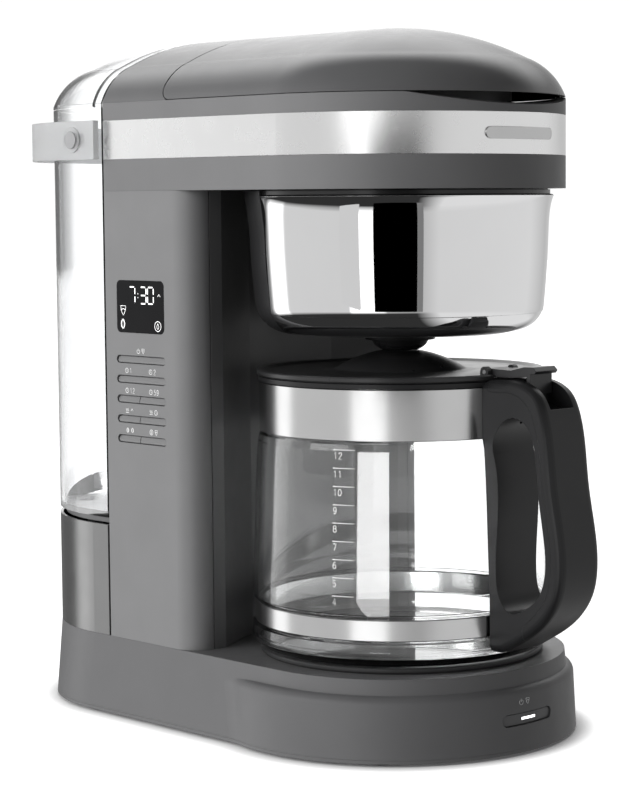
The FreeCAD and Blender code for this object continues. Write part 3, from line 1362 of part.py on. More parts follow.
def pocket():
    """Scoop in the top of the grip that a thumb reaches the lever through."""
    x = -LEVER_HALF - 0.7
    outline = [V(x, -90.0, 190.0), V(x, -112.5, 190.0), V(x, -112.5, 174.0), V(x, -104.0, 172.0),
               V(x, -92.0, 176.0), V(x, -90.0, 190.0)]
    scoop = face_of(polyline(outline)).extrude(V(-2 * x, 0, 0))
    upright = [e for e in scoop.Edges if abs(e.tangentAt(e.FirstParameter).z) > 0.9]
    return scoop.makeFillet(3.5, upright)


def handle_parts():
    block = handle_block()
    block = block.cut(carafe_clear())
    outside = grip_region()
    grip = block.common(outside).cut(pocket())
    post = block.cut(outside)
    post = post.cut(pocket())
    z0 = CARAFE_RING_BOTTOM
    z1 = CARAFE_RING_TOP
    rim = COLLAR_RADIUS + 0.4
    inner = GLASS_NECK + FIT_GAP
    lip = GLASS_NECK - 1.6
    ring = revolve_rz([(inner, z0), (rim, z0), (rim, z1), (lip, z1), (lip, z1 - 0.6), (inner, z1 - 0.6)])
    post = fuse([post, ring])
    hole = cylinder(COLLAR_SCREW, 14, V(0, -85.0, COLLAR_SCREW_Z), V(0, 1, 0))
    return post.cut(hole), grip


COLLAR_SCREW = 1.5
COLLAR_SCREW_Z = 166.0


def collar_screw():
    """Screw through the post into the steel collar."""
    return cylinder(COLLAR_SCREW - 0.02, 6.2, V(0, -79.5, COLLAR_SCREW_Z), V(0, 1, 0))


LEVER_HALF = 8.0
LID_PIN_Y = -(CARAFE_LID_RADIUS - 1.9)
LID_PIN_Z = 190.6


def carafe_lid():
    """Round lid with a shallow dish, a dome that leads the coffee in and two hinge ears."""
    r = CARAFE_LID_RADIUS
    z0 = CARAFE_LID_BOTTOM
    top = CARAFE_LID_TOP
    rise = DOME_TOP - top
    swell = (DOME_RADIUS ** 2 + rise ** 2) / (2 * rise)
    steps = 10
    dome = []
    for i in range(steps + 1):
        x = DOME_RADIUS + (10.0 - DOME_RADIUS) * i / steps
        dome.append((x, top - 0.2 + math.sqrt(swell ** 2 - x ** 2) - math.sqrt(swell ** 2 - DOME_RADIUS ** 2)))
    crown = dome[-1][1]
    scale = (DOME_TOP - top + 0.2) / (crown - top + 0.2)
    dome = [(x, top - 0.2 + (z - top + 0.2) * scale) for x, z in dome]
    rim = [(r - 0.8, z0), (r, z0 + 0.8), (r, top - 0.6), (r - 0.8, top), (r - 3.2, top), (r - 5.4, top - 1.1)]
    dish = [(DOME_RADIUS + 6.0, top - 1.1), (DOME_RADIUS + 1.0, top - 0.6)]
    hole = 3.4
    outline = rim + dish + dome + [(hole, DOME_TOP - 0.9), (hole, z0)]
    lid = revolve_rz(outline)
    skirt = tube(GLASS_NECK - 3.0, GLASS_NECK - 4.8, 176.0, z0 + 0.5)
    spout_gap = box(-12, 12, 60, 80, 170, z0 - 0.4)
    lid = fuse([lid, skirt.cut(spout_gap)])
    seat = box(-LEVER_HALF - 0.4, LEVER_HALF + 0.4, -r - 5.7, -r + 7.7, top - 1.6, DOME_TOP + 2)
    lid = lid.cut(seat)
    ears = []
    for side in (-1, 1):
        lo = min(side * (LEVER_HALF + 0.4), side * (LEVER_HALF + 3.4))
        ear = cylinder(2.6, 3.0, V(lo, LID_PIN_Y + 3.0, LID_PIN_Z - 0.6), V(1, 0, 0))
        block = box(lo, lo + 3.0, LID_PIN_Y + 0.4, LID_PIN_Y + 5.6, top - 0.8, LID_PIN_Z - 0.6)
        ears.append(ear.fuse(block))
    lid = fuse([lid] + ears)
    return lid.cut(lid_pin_shape(0.05))


def lid_pin_shape(grow):
    half = LEVER_HALF + 3.4
    return cylinder(1.1 + grow, 2 * half, V(-half, LID_PIN_Y + 3.0, LID_PIN_Z - 0.6), V(1, 0, 0))


def carafe_lid_pin():
    return lid_pin_shape(0.0)


def lid_lever():
    """Thumb lever: a hooked plate from the lid's pin over the pocket, with a leg into it."""
    x = -LEVER_HALF
    pin_y = LID_PIN_Y + 3.0
    plate = [V(x, pin_y + 2.4, 187.6), V(x, pin_y + 2.4, 191.6), V(x, -84.0, 191.2), V(x, -92.5, 193.2),
             V(x, -98.6, 193.4), V(x, -100.6, 191.4), V(x, -99.4, 190.0), V(x, -96.8, 190.0), V(x, -96.8, 180.0),
             V(x, -94.4, 180.0), V(x, -94.4, 188.6), V(x, -84.0, 187.5), V(x, pin_y + 2.4, 187.6)]
    lever = face_of(polyline(plate)).extrude(V(2 * LEVER_HALF, 0, 0))
    return lever.cut(lid_pin_shape(0.05))


# ---------------------------------------------------------------- hand-over
def build():
    post, grip = handle_parts()
    parts = {
        "base_housing": base_housing(),
        "base_pan": base_pan(),
        "feet": feet(),
        "base_screws": base_screws(),
        "warming_plate": warming_plate(),
        "plate_gasket": plate_gasket(),
        "plate_heater": plate_heater(),
        "heater_clamp": heater_clamp(),
        "thermostat": thermostat(),
        "start_key": start_key(),
        "column_housing": column_housing(),
        "control_panel": control_panel(),
        "right_panel": right_panel(),
        "control_board": control_board(),
        "display_window": display_window(),
        "display_module": display_module(),
        "head_housing": head_housing(),
        "head_band": head_band(),
        "badge": badge(),
        "rear_top_cover": rear_top_cover(),
        "lid_hinge_pin": hinge_pin(LID_REAR_Y),
        "lid_cover": lid_cover(),
        "lid_liner": lid_liner(),
        "shower_head": shower_head(),
        "brew_chamber": brew_chamber(),
        "chamber_shell": chamber_shell(),
        "outlet_nozzle": outlet_nozzle(),
        "drip_valve": drip_valve(),
        "valve_spring": valve_spring(),
        "filter_basket": filter_basket(),
        "mesh_filter": mesh_filter(),
        "tank_seat": tank_seat(),
        "tank_seal": tank_seal(),
        "inlet_hose": inlet_hose(),
        "riser_tube": riser_tube(),
        "rear_cover": rear_cover(),
        "cord_inlet": cord_inlet(),
        "tank_body": tank_body(),
        "tank_valve": tank_valve(),
        "tank_lid": tank_lid(),
        "tank_lid_pin": hinge_pin(TANK_LID_Y),
        "tank_handle": tank_handle(),
        "tank_pivots": tank_pivots(),
        "carafe_glass": carafe_glass(),
        "carafe_collar": carafe_collar(),
        "carafe_lower_band": carafe_lower_band(),
        "handle_post": post,
        "handle_grip": grip,
        "collar_screw": collar_screw(),
        "carafe_lid": carafe_lid(),
        "carafe_lid_pin": carafe_lid_pin(),
        "lid_lever": lid_lever(),
    }
    parts.update(panel_keys())
    return parts


os.makedirs("parts", exist_ok=True)
for name, shape in build().items():
    shape.translate(V(0, ROW_SHIFT, 0))
    shape.exportStep("parts/" + name + ".step")
    print(name, shape.isValid(), len(shape.Solids), round(shape.Volume / 1000, 2))
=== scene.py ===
import logging
import math
from collections.abc import Callable
from dataclasses import dataclass, field
from enum import Enum

import bpy
from mathutils import Matrix, Vector


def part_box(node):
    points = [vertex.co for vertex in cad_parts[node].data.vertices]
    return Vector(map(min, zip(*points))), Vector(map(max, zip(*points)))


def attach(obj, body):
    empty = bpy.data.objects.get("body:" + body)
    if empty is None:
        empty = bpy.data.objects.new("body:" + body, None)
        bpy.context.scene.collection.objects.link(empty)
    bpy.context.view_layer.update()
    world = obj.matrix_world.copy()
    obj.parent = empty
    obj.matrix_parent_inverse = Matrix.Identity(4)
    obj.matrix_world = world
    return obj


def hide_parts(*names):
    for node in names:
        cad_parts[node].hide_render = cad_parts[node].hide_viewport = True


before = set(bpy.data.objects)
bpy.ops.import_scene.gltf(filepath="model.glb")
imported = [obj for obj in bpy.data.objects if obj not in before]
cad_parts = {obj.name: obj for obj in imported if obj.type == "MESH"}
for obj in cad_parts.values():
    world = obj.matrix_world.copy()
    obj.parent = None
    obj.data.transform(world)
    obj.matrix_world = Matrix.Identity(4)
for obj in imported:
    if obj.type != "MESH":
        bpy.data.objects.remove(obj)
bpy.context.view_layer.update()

LOG = logging.getLogger("coffee_maker")
MM = 0.001
UP = Vector((0, 0, 1))

Point = tuple[float, float]
Stroke = list[Point]

# Noise seldom leaves the middle of its range, so it is mapped from there.
NOISE_LOW, NOISE_HIGH = 0.25, 0.75
SHADE_LOW, SHADE_HIGH = 0.3, 0.7


class Grain(Enum):
    """The surface texture a finish carries."""

    SMOOTH = "smooth"
    MOULDED = "moulded"
    BRUSHED_ROUND = "brushed round an upright axis"
    BRUSHED_ALONG = "brushed along the length"
    WOVEN = "woven"


def arithmetic(tree: bpy.types.NodeTree, operation: str, a: bpy.types.NodeSocket,
               b: bpy.types.NodeSocket | float) -> bpy.types.NodeSocket:
    """One arithmetic node.

    Args:
        tree: The node tree to build in.
        operation: The node's operation.
        a: The first value.
        b: The second value, a socket or a number.

    Returns:
        The result.
    """
    node = tree.nodes.new("ShaderNodeMath")
    node.operation = operation
    tree.links.new(a, node.inputs[0])
    if isinstance(b, bpy.types.NodeSocket):
        tree.links.new(b, node.inputs[1])
    else:
        node.inputs[1].default_value = b
    return node.outputs[0]


# ---------------- finishes
class Desk:
    """A material's node tree with short calls for the nodes that the finishes use."""

    def __init__(self, name: str) -> None:
        """Starts a material with only its shader and output.

        Args:
            name: The material's name.
        """
        self.material = bpy.data.materials.new(name)
        self.material.use_nodes = True
        self.tree = self.material.node_tree
        self.shader = self.tree.nodes["Principled BSDF"]
        self.coordinates = self.tree.nodes.new("ShaderNodeTexCoord").outputs["Object"]

    def link(self, out: bpy.types.NodeSocket, into: bpy.types.NodeSocket) -> None:
        """Joins two sockets."""
        self.tree.links.new(out, into)

    def stretched(self, centre: Vector, scale: Vector) -> bpy.types.NodeSocket:
        """Object coordinates about a centre, stretched by a scale.

        Args:
            centre: The point that becomes the origin, in metres.
            scale: How much each axis is stretched.

        Returns:
            The stretched coordinates.
        """
        mapping = self.tree.nodes.new("ShaderNodeMapping")
        mapping.inputs["Location"].default_value = Vector(-c * s for c, s in zip(centre, scale))
        mapping.inputs["Scale"].default_value = scale
        self.link(self.coordinates, mapping.inputs["Vector"])
        return mapping.outputs["Vector"]

    def turned(self, centre: Vector, around: float, up: float) -> bpy.types.NodeSocket:
        """Cylinder coordinates about an upright axis, for marks that run round it.

        Args:
            centre: A point on the axis, in metres.
            around: Stretch along the turn.
            up: Stretch along the axis.

        Returns:
            A vector of turn, radius and height.
        """
        local = self.stretched(centre, Vector((1, 1, 1)))
        apart = self.tree.nodes.new("ShaderNodeSeparateXYZ")
        self.link(local, apart.inputs["Vector"])
        turn = arithmetic(self.tree, "ARCTAN2", apart.outputs["Y"], apart.outputs["X"])
        wide = arithmetic(self.tree, "MULTIPLY", turn, around)
        high = arithmetic(self.tree, "MULTIPLY", apart.outputs["Z"], up)
        joined = self.tree.nodes.new("ShaderNodeCombineXYZ")
        self.link(wide, joined.inputs["X"])
        self.link(high, joined.inputs["Z"])
        return joined.outputs["Vector"]

    def noise(self, vector: bpy.types.NodeSocket, scale: float, detail: float) -> bpy.types.NodeSocket:
        """Noise from 0 to 1.

        Args:
            vector: Coordinates.
            scale: Lumps in a metre.
            detail: How fine the noise goes.

        Returns:
            The noise value.
        """
        node = self.tree.nodes.new("ShaderNodeTexNoise")
        node.inputs["Scale"].default_value = scale
        node.inputs["Detail"].default_value = detail
        self.link(vector, node.inputs["Vector"])
        return node.outputs["Fac"]

    def spread(self, value: bpy.types.NodeSocket, low: float, high: float) -> bpy.types.NodeSocket:
        """Maps noise onto low to high.

        Args:
            value: The noise to map.
            low: Result at NOISE_LOW and below.
            high: Result at NOISE_HIGH and above.

        Returns:
            The mapped value.
        """
        node = self.tree.nodes.new("ShaderNodeMapRange")
        node.inputs["From Min"].default_value = NOISE_LOW
        node.inputs["From Max"].default_value = NOISE_HIGH
        node.inputs["To Min"].default_value = low
        node.inputs["To Max"].default_value = high
        self.link(value, node.inputs["Value"])
        return node.outputs["Result"]

    def shade(self, value: bpy.types.NodeSocket, dark: tuple, light: tuple) -> bpy.types.NodeSocket:
        """Mixes two colours by noise.

        Args:
            value: The noise.
            dark: The colour at SHADE_LOW and below.
            light: The colour at SHADE_HIGH and above.

        Returns:
            The mixed colour.
        """
        ramp = self.tree.nodes.new("ShaderNodeValToRGB")
        ramp.color_ramp.elements[0].position = SHADE_LOW
        ramp.color_ramp.elements[1].position = SHADE_HIGH
        ramp.color_ramp.elements[0].color = (*dark, 1.0)
        ramp.color_ramp.elements[1].color = (*light, 1.0)
        self.link(value, ramp.inputs["Fac"])
        return ramp.outputs["Color"]

    def relief(self, height: bpy.types.NodeSocket | None, depth: float, edge: float) -> None:
        """Gives the shader a bumped surface with softened edges.

        Args:
            height: The bump's height from 0 to 1, or None for a smooth surface.
            depth: The bump's depth in metres.
            edge: Radius that sharp edges catch the light with, in metres.
        """
        normal = None
        if edge > 0:
            soft = self.tree.nodes.new("ShaderNodeBevel")
            soft.samples = 4
            soft.inputs["Radius"].default_value = edge
            normal = soft.outputs["Normal"]
        if height is not None:
            bump = self.tree.nodes.new("ShaderNodeBump")
            bump.inputs["Strength"].default_value = 1.0
            bump.inputs["Distance"].default_value = depth
            self.link(height, bump.inputs["Height"])
            if normal is not None:
                self.link(normal, bump.inputs["Normal"])
            normal = bump.outputs["Normal"]
        if normal is not None:
            self.link(normal, self.shader.inputs["Normal"])


@dataclass(frozen=True)
class Finish:
    """An opaque surface: moulded plastic, paint or metal."""

    name: str
    colour: tuple[float, float, float]
    roughness: float
    metallic: float = 0.0
    grain: Grain = Grain.MOULDED
    depth: float = 0.00002
    variation: float = 0.06
    edge: float = 0.0005
    specular: float = 0.5

    def texture(self, desk: Desk) -> bpy.types.NodeSocket:
        """The grain's height.

        Args:
            desk: The node tree to build in.

        Returns:
            A value from 0 to 1.
        """
        axis = brew_axis()
        if self.grain is Grain.BRUSHED_ROUND:
            return desk.noise(desk.turned(axis, around=0.6, up=1.0), scale=9000.0, detail=2.0)
        if self.grain is Grain.BRUSHED_ALONG:
            return desk.noise(desk.stretched(axis, Vector((0.02, 0.02, 1.0))), scale=6000.0, detail=2.0)
        if self.grain is Grain.WOVEN:
            return desk.noise(desk.turned(axis, around=0.08, up=1.0), scale=2600.0, detail=0.0)
        return desk.noise(desk.coordinates, scale=2400.0, detail=4.0)

    def material(self) -> bpy.types.Material:
        """Builds the finish.

        Returns:
            The material.
        """
        desk = Desk(self.name)
        shader = desk.shader
        shader.inputs["Metallic"].default_value = self.metallic
        shader.inputs["Specular IOR Level"].default_value = self.specular
        cloud = desk.noise(desk.coordinates, scale=38.0, detail=5.0)
        dark = tuple(c * (1 - self.variation) for c in self.colour)
        light = tuple(min(c * (1 + self.variation), 1.0) for c in self.colour)
        desk.link(desk.shade(cloud, dark, light), shader.inputs["Base Color"])
        smudges = desk.noise(desk.coordinates, scale=90.0, detail=4.0)
        rough = desk.spread(smudges, low=self.roughness * 0.9, high=self.roughness * 1.12)
        desk.link(rough, shader.inputs["Roughness"])
        if self.grain is Grain.SMOOTH:
            desk.relief(None, 0.0, self.edge)
        else:
            desk.relief(self.texture(desk), self.depth, self.edge)
        return desk.material


@dataclass(frozen=True)
class Clear:
    """A see-through surface: glass or clear moulding."""

    name: str
    colour: tuple[float, float, float]
    roughness: float
    ior: float
    ripple: float = 0.0
    weight: float = 1.0
    edge: float = 0.0

    def material(self) -> bpy.types.Material:
        """Builds the finish.

        Returns:
            The material.
        """
        desk = Desk(self.name)
        shader = desk.shader
        shader.inputs["Transmission Weight"].default_value = self.weight
        shader.inputs["IOR"].default_value = self.ior
        wave = desk.noise(desk.stretched(brew_axis(), Vector((1.0, 1.0, 0.15))), scale=22.0, detail=2.0)
        tint = tuple(c * 0.985 for c in self.colour)
        desk.link(desk.shade(wave, tint, self.colour), shader.inputs["Base Color"])
        desk.link(desk.spread(wave, self.roughness * 0.8, self.roughness * 1.2), shader.inputs["Roughness"])
        if self.ripple > 0 or self.edge > 0:
            desk.relief(wave if self.ripple > 0 else None, self.ripple, self.edge)
        return desk.material


@dataclass(frozen=True)
class Glow:
    """A lit mark on the display or on a key."""

    name: str
    colour: tuple[float, float, float]
    strength: float

    def material(self) -> bpy.types.Material:
        """Builds the finish.

        Returns:
            The material.
        """
        desk = Desk(self.name)
        flicker = desk.noise(desk.coordinates, scale=500.0, detail=1.0)
        dim = tuple(c * 0.93 for c in self.colour)
        colour = desk.shade(flicker, dim, self.colour)
        desk.link(colour, desk.shader.inputs["Base Color"])
        desk.link(colour, desk.shader.inputs["Emission Color"])
        desk.shader.inputs["Emission Strength"].default_value = self.strength
        desk.shader.inputs["Roughness"].default_value = 0.5
        return desk.material


MIRROR = Finish("mirror_chrome", (0.93, 0.93, 0.935), 0.025, metallic=1.0, grain=Grain.SMOOTH, variation=0.008,
                edge=0.0003)
PRINT_WHITE = Finish("white_print", (0.86, 0.86, 0.86), 0.5, grain=Grain.SMOOTH, edge=0.0, variation=0.03)
DISPLAY_LIT = Glow("lit_figures", (1.0, 1.0, 1.0), 1.1)
KEY_LIT = Glow("lit_key_bar", (1.0, 1.0, 1.0), 3.0)

# Each finish, and the nodes that wear it.
NODE_FINISHES: tuple[tuple[Finish | Clear, list[str]], ...] = (
    (Finish("charcoal_moulding", (0.165, 0.165, 0.168), 0.42, depth=0.000012, variation=0.03),
     ["head_housing", "lid_liner", "right_panel"]),
    # The same charcoal moulding made darker: painted shade on the base, its pan and its key.
    (Finish("charcoal_moulding_painted_shade", (0.128, 0.128, 0.131), 0.42, depth=0.000012, variation=0.03),
     ["base_housing", "base_pan", "start_key"]),
    # The same charcoal moulding made lighter: painted light on the side panel and its keys.
    (Finish("charcoal_moulding_painted_light", (0.19, 0.19, 0.193), 0.42, depth=0.000012, variation=0.03),
     ["control_panel", "brew_key", "preset_key", "hour_key", "minute_key", "plate_heat_key", "plate_time_key",
      "strength_key", "clean_key"]),
    (Finish("charcoal_sheen_moulding", (0.125, 0.125, 0.128), 0.24, depth=0.000004, variation=0.03, specular=0.7),
     ["lid_cover", "rear_top_cover"]),
    (Finish("dark_column_moulding", (0.15, 0.15, 0.152), 0.38, depth=0.000012, variation=0.04),
     ["column_housing", "tank_seat"]),
    (Finish("black_chamber_moulding", (0.03, 0.03, 0.031), 0.25, depth=0.000006),
     ["brew_chamber", "outlet_nozzle", "filter_basket", "shower_head", "drip_valve", "tank_valve", "cord_inlet"]),
    (Finish("black_grip_moulding", (0.017, 0.017, 0.018), 0.34, depth=0.00002, specular=0.35),
     ["handle_post", "handle_grip"]),
    (Finish("black_lid_moulding", (0.03, 0.03, 0.031), 0.3, depth=0.00001),
     ["carafe_lid", "lid_lever"]),
    (Finish("satin_silver_trim", (0.95, 0.95, 0.95), 0.26, metallic=1.0, grain=Grain.SMOOTH, variation=0.006,
            edge=0.0004),
     ["head_band"]),
    (Finish("satin_badge", (0.62, 0.62, 0.62), 0.24, metallic=1.0, grain=Grain.SMOOTH, variation=0.02),
     ["badge"]),
    (MIRROR,
     ["chamber_shell"]),
    (Finish("satin_steel_cover", (0.3, 0.3, 0.3), 0.24, metallic=1.0, grain=Grain.BRUSHED_ALONG, depth=0.000002,
            variation=0.02, edge=0.0003),
     ["rear_cover"]),
    (Finish("brushed_carafe_band", (0.72, 0.72, 0.72), 0.2, metallic=1.0, grain=Grain.BRUSHED_ROUND, depth=0.0000012,
            variation=0.02, edge=0.0002),
     ["carafe_collar", "carafe_lower_band"]),
    (Clear("carafe_glass", (0.985, 0.99, 0.99), 0.0, 1.48),
     ["carafe_glass"]),
    (Clear("clear_tank_moulding", (0.93, 0.935, 0.94), 0.03, 1.3, ripple=0.0002),
     ["tank_body", "tank_lid"]),
    (Clear("frosted_strap", (0.84, 0.845, 0.85), 0.4, 1.35, weight=0.7, edge=0.0006),
     ["tank_handle"]),
    (Finish("display_black_gloss", (0.008, 0.008, 0.009), 0.12, grain=Grain.SMOOTH, specular=0.15),
     ["display_window"]),
    (Finish("display_module_black", (0.03, 0.03, 0.03), 0.5),
     ["display_module"]),
    (Finish("circuit_board", (0.03, 0.13, 0.06), 0.45),
     ["control_board"]),
    (Finish("plate_coating", (0.03, 0.03, 0.031), 0.45, depth=0.00003),
     ["warming_plate"]),
    (Finish("black_rubber", (0.02, 0.02, 0.02), 0.75, depth=0.00004),
     ["feet", "plate_gasket"]),
    (Finish("grey_silicone", (0.62, 0.62, 0.61), 0.55, depth=0.00002),
     ["tank_seal", "inlet_hose", "riser_tube"]),
    (Finish("plain_steel", (0.55, 0.55, 0.56), 0.3, metallic=1.0, grain=Grain.BRUSHED_ALONG, depth=0.000003),
     ["lid_hinge_pin", "tank_lid_pin", "carafe_lid_pin", "tank_pivots", "base_screws", "collar_screw", "valve_spring",
      "heater_clamp"]),
    (Finish("bare_aluminium", (0.66, 0.66, 0.67), 0.42, metallic=1.0, depth=0.00001),
     ["plate_heater", "thermostat"]),
    (Finish("fine_filter_mesh", (0.52, 0.5, 0.44), 0.4, metallic=0.9, grain=Grain.WOVEN, depth=0.00012),
     ["mesh_filter"]),
)


# ---------------- shared places
def middle(node: str) -> Vector:
    """Centre of a node's box."""
    low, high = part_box(node)
    return (low + high) / 2


def brew_axis() -> Vector:
    """The foot of the upright axis through the carafe."""
    centre = middle("warming_plate")
    return Vector((centre.x, centre.y, 0.0))


def deselect_all() -> None:
    """Leaves nothing selected, so that the next operator acts only on what is added."""
    if bpy.context.mode != "OBJECT":
        bpy.ops.object.mode_set(mode="OBJECT")
    bpy.ops.object.select_all(action="DESELECT")


def added(name: str, operator: Callable, **options: object) -> bpy.types.Object:
    """Adds an object.

    Args:
        name: The object's name.
        operator: The operator that adds it.
        options: What the operator is told.

    Returns:
        The object, selected alone.
    """
    deselect_all()
    operator(**options)
    bpy.context.object.name = name
    return bpy.context.object


def only(obj: bpy.types.Object) -> None:
    """Makes one object the selected and active one."""
    deselect_all()
    obj.select_set(True)
    bpy.context.view_layer.objects.active = obj


def weld() -> None:
    """Closes the mesh being edited: joins doubled points, turns its faces outward, leaves edit mode."""
    bpy.ops.mesh.select_all(action="SELECT")
    bpy.ops.mesh.remove_doubles(threshold=1e-6)
    bpy.ops.mesh.normals_make_consistent(inside=False)
    bpy.ops.object.mode_set(mode="OBJECT")


def dress(obj: bpy.types.Object, material: bpy.types.Material) -> None:
    """Gives an object one material."""
    obj.data.materials.clear()
    obj.data.materials.append(material)


class CarriedNodes:
    """The nodes that keep their own shape and get a finish."""

    def build(self) -> None:
        """Gives every node its finish."""
        for finish, nodes in NODE_FINISHES:
            material = finish.material()
            for node in nodes:
                dress(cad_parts[node], material)
            LOG.info("%s: %s", finish.name, ", ".join(nodes))


# ---------------- brew basket's bright shell
def eased(points: list[Point], steps: int) -> list[Point]:
    """A smooth line through some points, with more points between them.

    Args:
        points: The points that the line passes.
        steps: How many pieces each stretch is cut into.

    Returns:
        The points of the smooth line.
    """
    line = []
    for i in range(len(points) - 1):
        a, b, c, d = (points[max(i - 1, 0)], points[i], points[i + 1], points[min(i + 2, len(points) - 1)])
        for step in range(steps):
            s = step / steps
            line.append(tuple(
                0.5 * (2 * q + (r - p) * s + (2 * p - 5 * q + 4 * r - t) * s * s + (3 * q - p - 3 * r + t) * s ** 3)
                for p, q, r, t in zip(a, b, c, d)))
    return line + [points[-1]]


def turned(name: str, profile: list[Point], start: float, sweep: float, steps: int) -> bpy.types.Object:
    """Turns an outline about the brew axis.

    Args:
        name: The piece's name.
        profile: Radius and height of each point, in metres.
        start: Direction of the outline, in degrees.
        sweep: How far it turns from there, clockwise from above, in degrees.
        steps: How many faces the turn has.

    Returns:
        The turned skin, one face thick.
    """
    axis = brew_axis()
    outward = Vector((math.cos(math.radians(start)), math.sin(math.radians(start)), 0.0))
    places = [axis + outward * radius + Vector((0, 0, height)) for radius, height in profile]
    obj = added(name, bpy.ops.mesh.primitive_plane_add, size=0.001, location=(0, 0, 0))
    bpy.ops.object.mode_set(mode="EDIT")
    bpy.ops.mesh.select_all(action="SELECT")
    bpy.ops.mesh.merge(type="CENTER")
    bpy.ops.transform.translate(value=places[0])
    for before, after in zip(places, places[1:]):
        bpy.ops.mesh.extrude_vertices_move(TRANSFORM_OT_translate={"value": after - before})
    bpy.ops.mesh.select_all(action="SELECT")
    bpy.ops.mesh.spin(steps=steps, angle=math.radians(sweep), center=axis, axis=(0, 0, 1))
    weld()
    return obj


@dataclass
class BasketShell:
    """Mirror-polished shell round the front of the brew chamber."""

    half_angle: float = 106.0
    corner_radius: float = 14.9 * MM
    wall: float = 1.1 * MM
    lip_inset: float = 20.4 * MM
    flare: tuple[Point, ...] = ((-3.95 * MM, -34.0 * MM), (-3.05 * MM, -13.6 * MM), (-2.2 * MM, -6.0 * MM),
                                (-1.0 * MM, -1.6 * MM), (-0.1 * MM, -0.1 * MM))
    clearance: float = 0.1 * MM
    faces_round: int = 170
    smooth_below: float = 40.0

    def outline(self) -> list[Point]:
        """The shell's outside, from its lower lip to its rim.

        Returns:
            Radius and height of each point, in metres.
        """
        low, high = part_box("chamber_shell")
        rim = (high.x - low.x) / 2
        centre = (rim - self.lip_inset, low.z + self.corner_radius + self.clearance)
        corner = [(centre[0] + self.corner_radius * math.cos(math.radians(a)),
                   centre[1] + self.corner_radius * math.sin(math.radians(a))) for a in range(-90, -3, 10)]
        return corner + [(rim + r, high.z + z) for r, z in self.flare]

    def build(self) -> None:
        """Turns the outline, thickens it inwards and puts it in place of the plain shell."""
        profile = eased(self.outline(), 5)
        obj = turned("bright_shell", profile, self.half_angle - 90.0, 2 * self.half_angle, self.faces_round)
        only(obj)
        face = obj.data.polygons[0]
        if face.normal.dot(face.center - brew_axis()) < 0:
            bpy.ops.object.mode_set(mode="EDIT")
            bpy.ops.mesh.select_all(action="SELECT")
            bpy.ops.mesh.flip_normals()
            bpy.ops.object.mode_set(mode="OBJECT")
        thicken = obj.modifiers.new("thicken", "SOLIDIFY")
        thicken.thickness = self.wall
        thicken.offset = -1.0
        bpy.ops.object.modifier_apply(modifier=thicken.name)
        bpy.ops.object.shade_smooth_by_angle(angle=math.radians(self.smooth_below))
        dress(obj, MIRROR.material())
        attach(obj, "machine")
        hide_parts("chamber_shell")
        LOG.info("%s with %d faces", obj.name, len(obj.data.polygons))


# ---------------- printed and lit marks
@dataclass
class MarkSheet:
    """Fine strokes drawn flat and laid on a surface, such as a printed scale or lit figures."""

    name: str
    finish: Finish | Glow
    width: float
    thickness: float = 0.06 * MM
    reach: float = 20 * MM
    strokes: list[Stroke] = field(default_factory=list)

    def add(self, strokes: list[Stroke], at: Point = (0.0, 0.0), size: float = 1.0) -> None:
        """Adds strokes at a place.

        Args:
            strokes: Lines of points in the glyph's own units.
            at: Where the glyph's origin goes, in metres on the sheet.
            size: Metres for one glyph unit.
        """
        for stroke in strokes:
            self.strokes.append([(at[0] + u * size, at[1] + v * size) for u, v in stroke])

    def flat_mesh(self) -> bpy.types.Object:
        """Draws the strokes as one flat mesh.

        Returns:
            The object, still flat in its XY plane.
        """
        obj = added(self.name, bpy.ops.curve.primitive_nurbs_path_add, location=(0, 0, 0))
        curve = obj.data
        curve.splines.clear()
        curve.dimensions = "3D"
        for stroke in self.strokes:
            spline = curve.splines.new("POLY")
            spline.points.add(len(stroke) - 1)
            for point, (u, v) in zip(spline.points, stroke):
                point.co = (u, v, 0.0, 1.0)
        curve.bevel_depth = self.width / 2
        curve.bevel_resolution = 1
        curve.use_fill_caps = True
        only(obj)
        bpy.ops.object.convert(target="MESH")
        return bpy.context.object

    def lay_on(self, node: str, origin: Vector, across: Vector, up: Vector, body: str) -> bpy.types.Object:
        """Lays the sheet on a node's surface and joins it to a body.

        Args:
            node: The node that carries the marks.
            origin: Where the sheet's origin lies, a little outside the surface.
            across: Direction of the sheet's first axis.
            up: Direction of the sheet's second axis.
            body: The body that the marks ride on.

        Returns:
            The finished piece.
        """
        obj = self.flat_mesh()
        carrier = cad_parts[node]
        outward = across.cross(up).normalized()
        squeeze = self.thickness / self.width
        for vertex in obj.data.vertices:
            start = origin + across * vertex.co.x + up * vertex.co.y + outward * self.reach
            hit, place, _, _ = carrier.ray_cast(start, -outward)
            base = place if hit else start - outward * self.reach
            vertex.co = base + outward * (vertex.co.z * squeeze + self.thickness * 0.5)
        dress(obj, self.finish.material())
        only(obj)
        bpy.ops.object.mode_set(mode="EDIT")
        weld()
        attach(obj, body)
        LOG.info("%s on %s", self.name, node)
        return obj


def ring(centre: Point, radius: float, squash: float = 1.0, start: float = 0.0, end: float = 360.0,
         steps: int = 16) -> Stroke:
    """A ring or a part of one.

    Args:
        centre: The ring's middle.
        radius: Half the ring's height.
        squash: The ring's width as a share of its height.
        start: Where the part starts, in degrees.
        end: Where it ends, in degrees.
        steps: How many sides the part has.

    Returns:
        The ring's points.
    """
    turns = [math.radians(start + (end - start) * i / steps) for i in range(steps + 1)]
    return [(centre[0] + radius * squash * math.cos(a), centre[1] + radius * math.sin(a)) for a in turns]


# The bars of each lit figure, their cell, and the space left at the end of each bar.
SEGMENTS: dict[str, str] = {"0": "abcdef", "3": "abgcd", "7": "abc"}
CELL_WIDTH, CELL_HEIGHT, BAR_GAP = 0.55, 1.0, 0.07


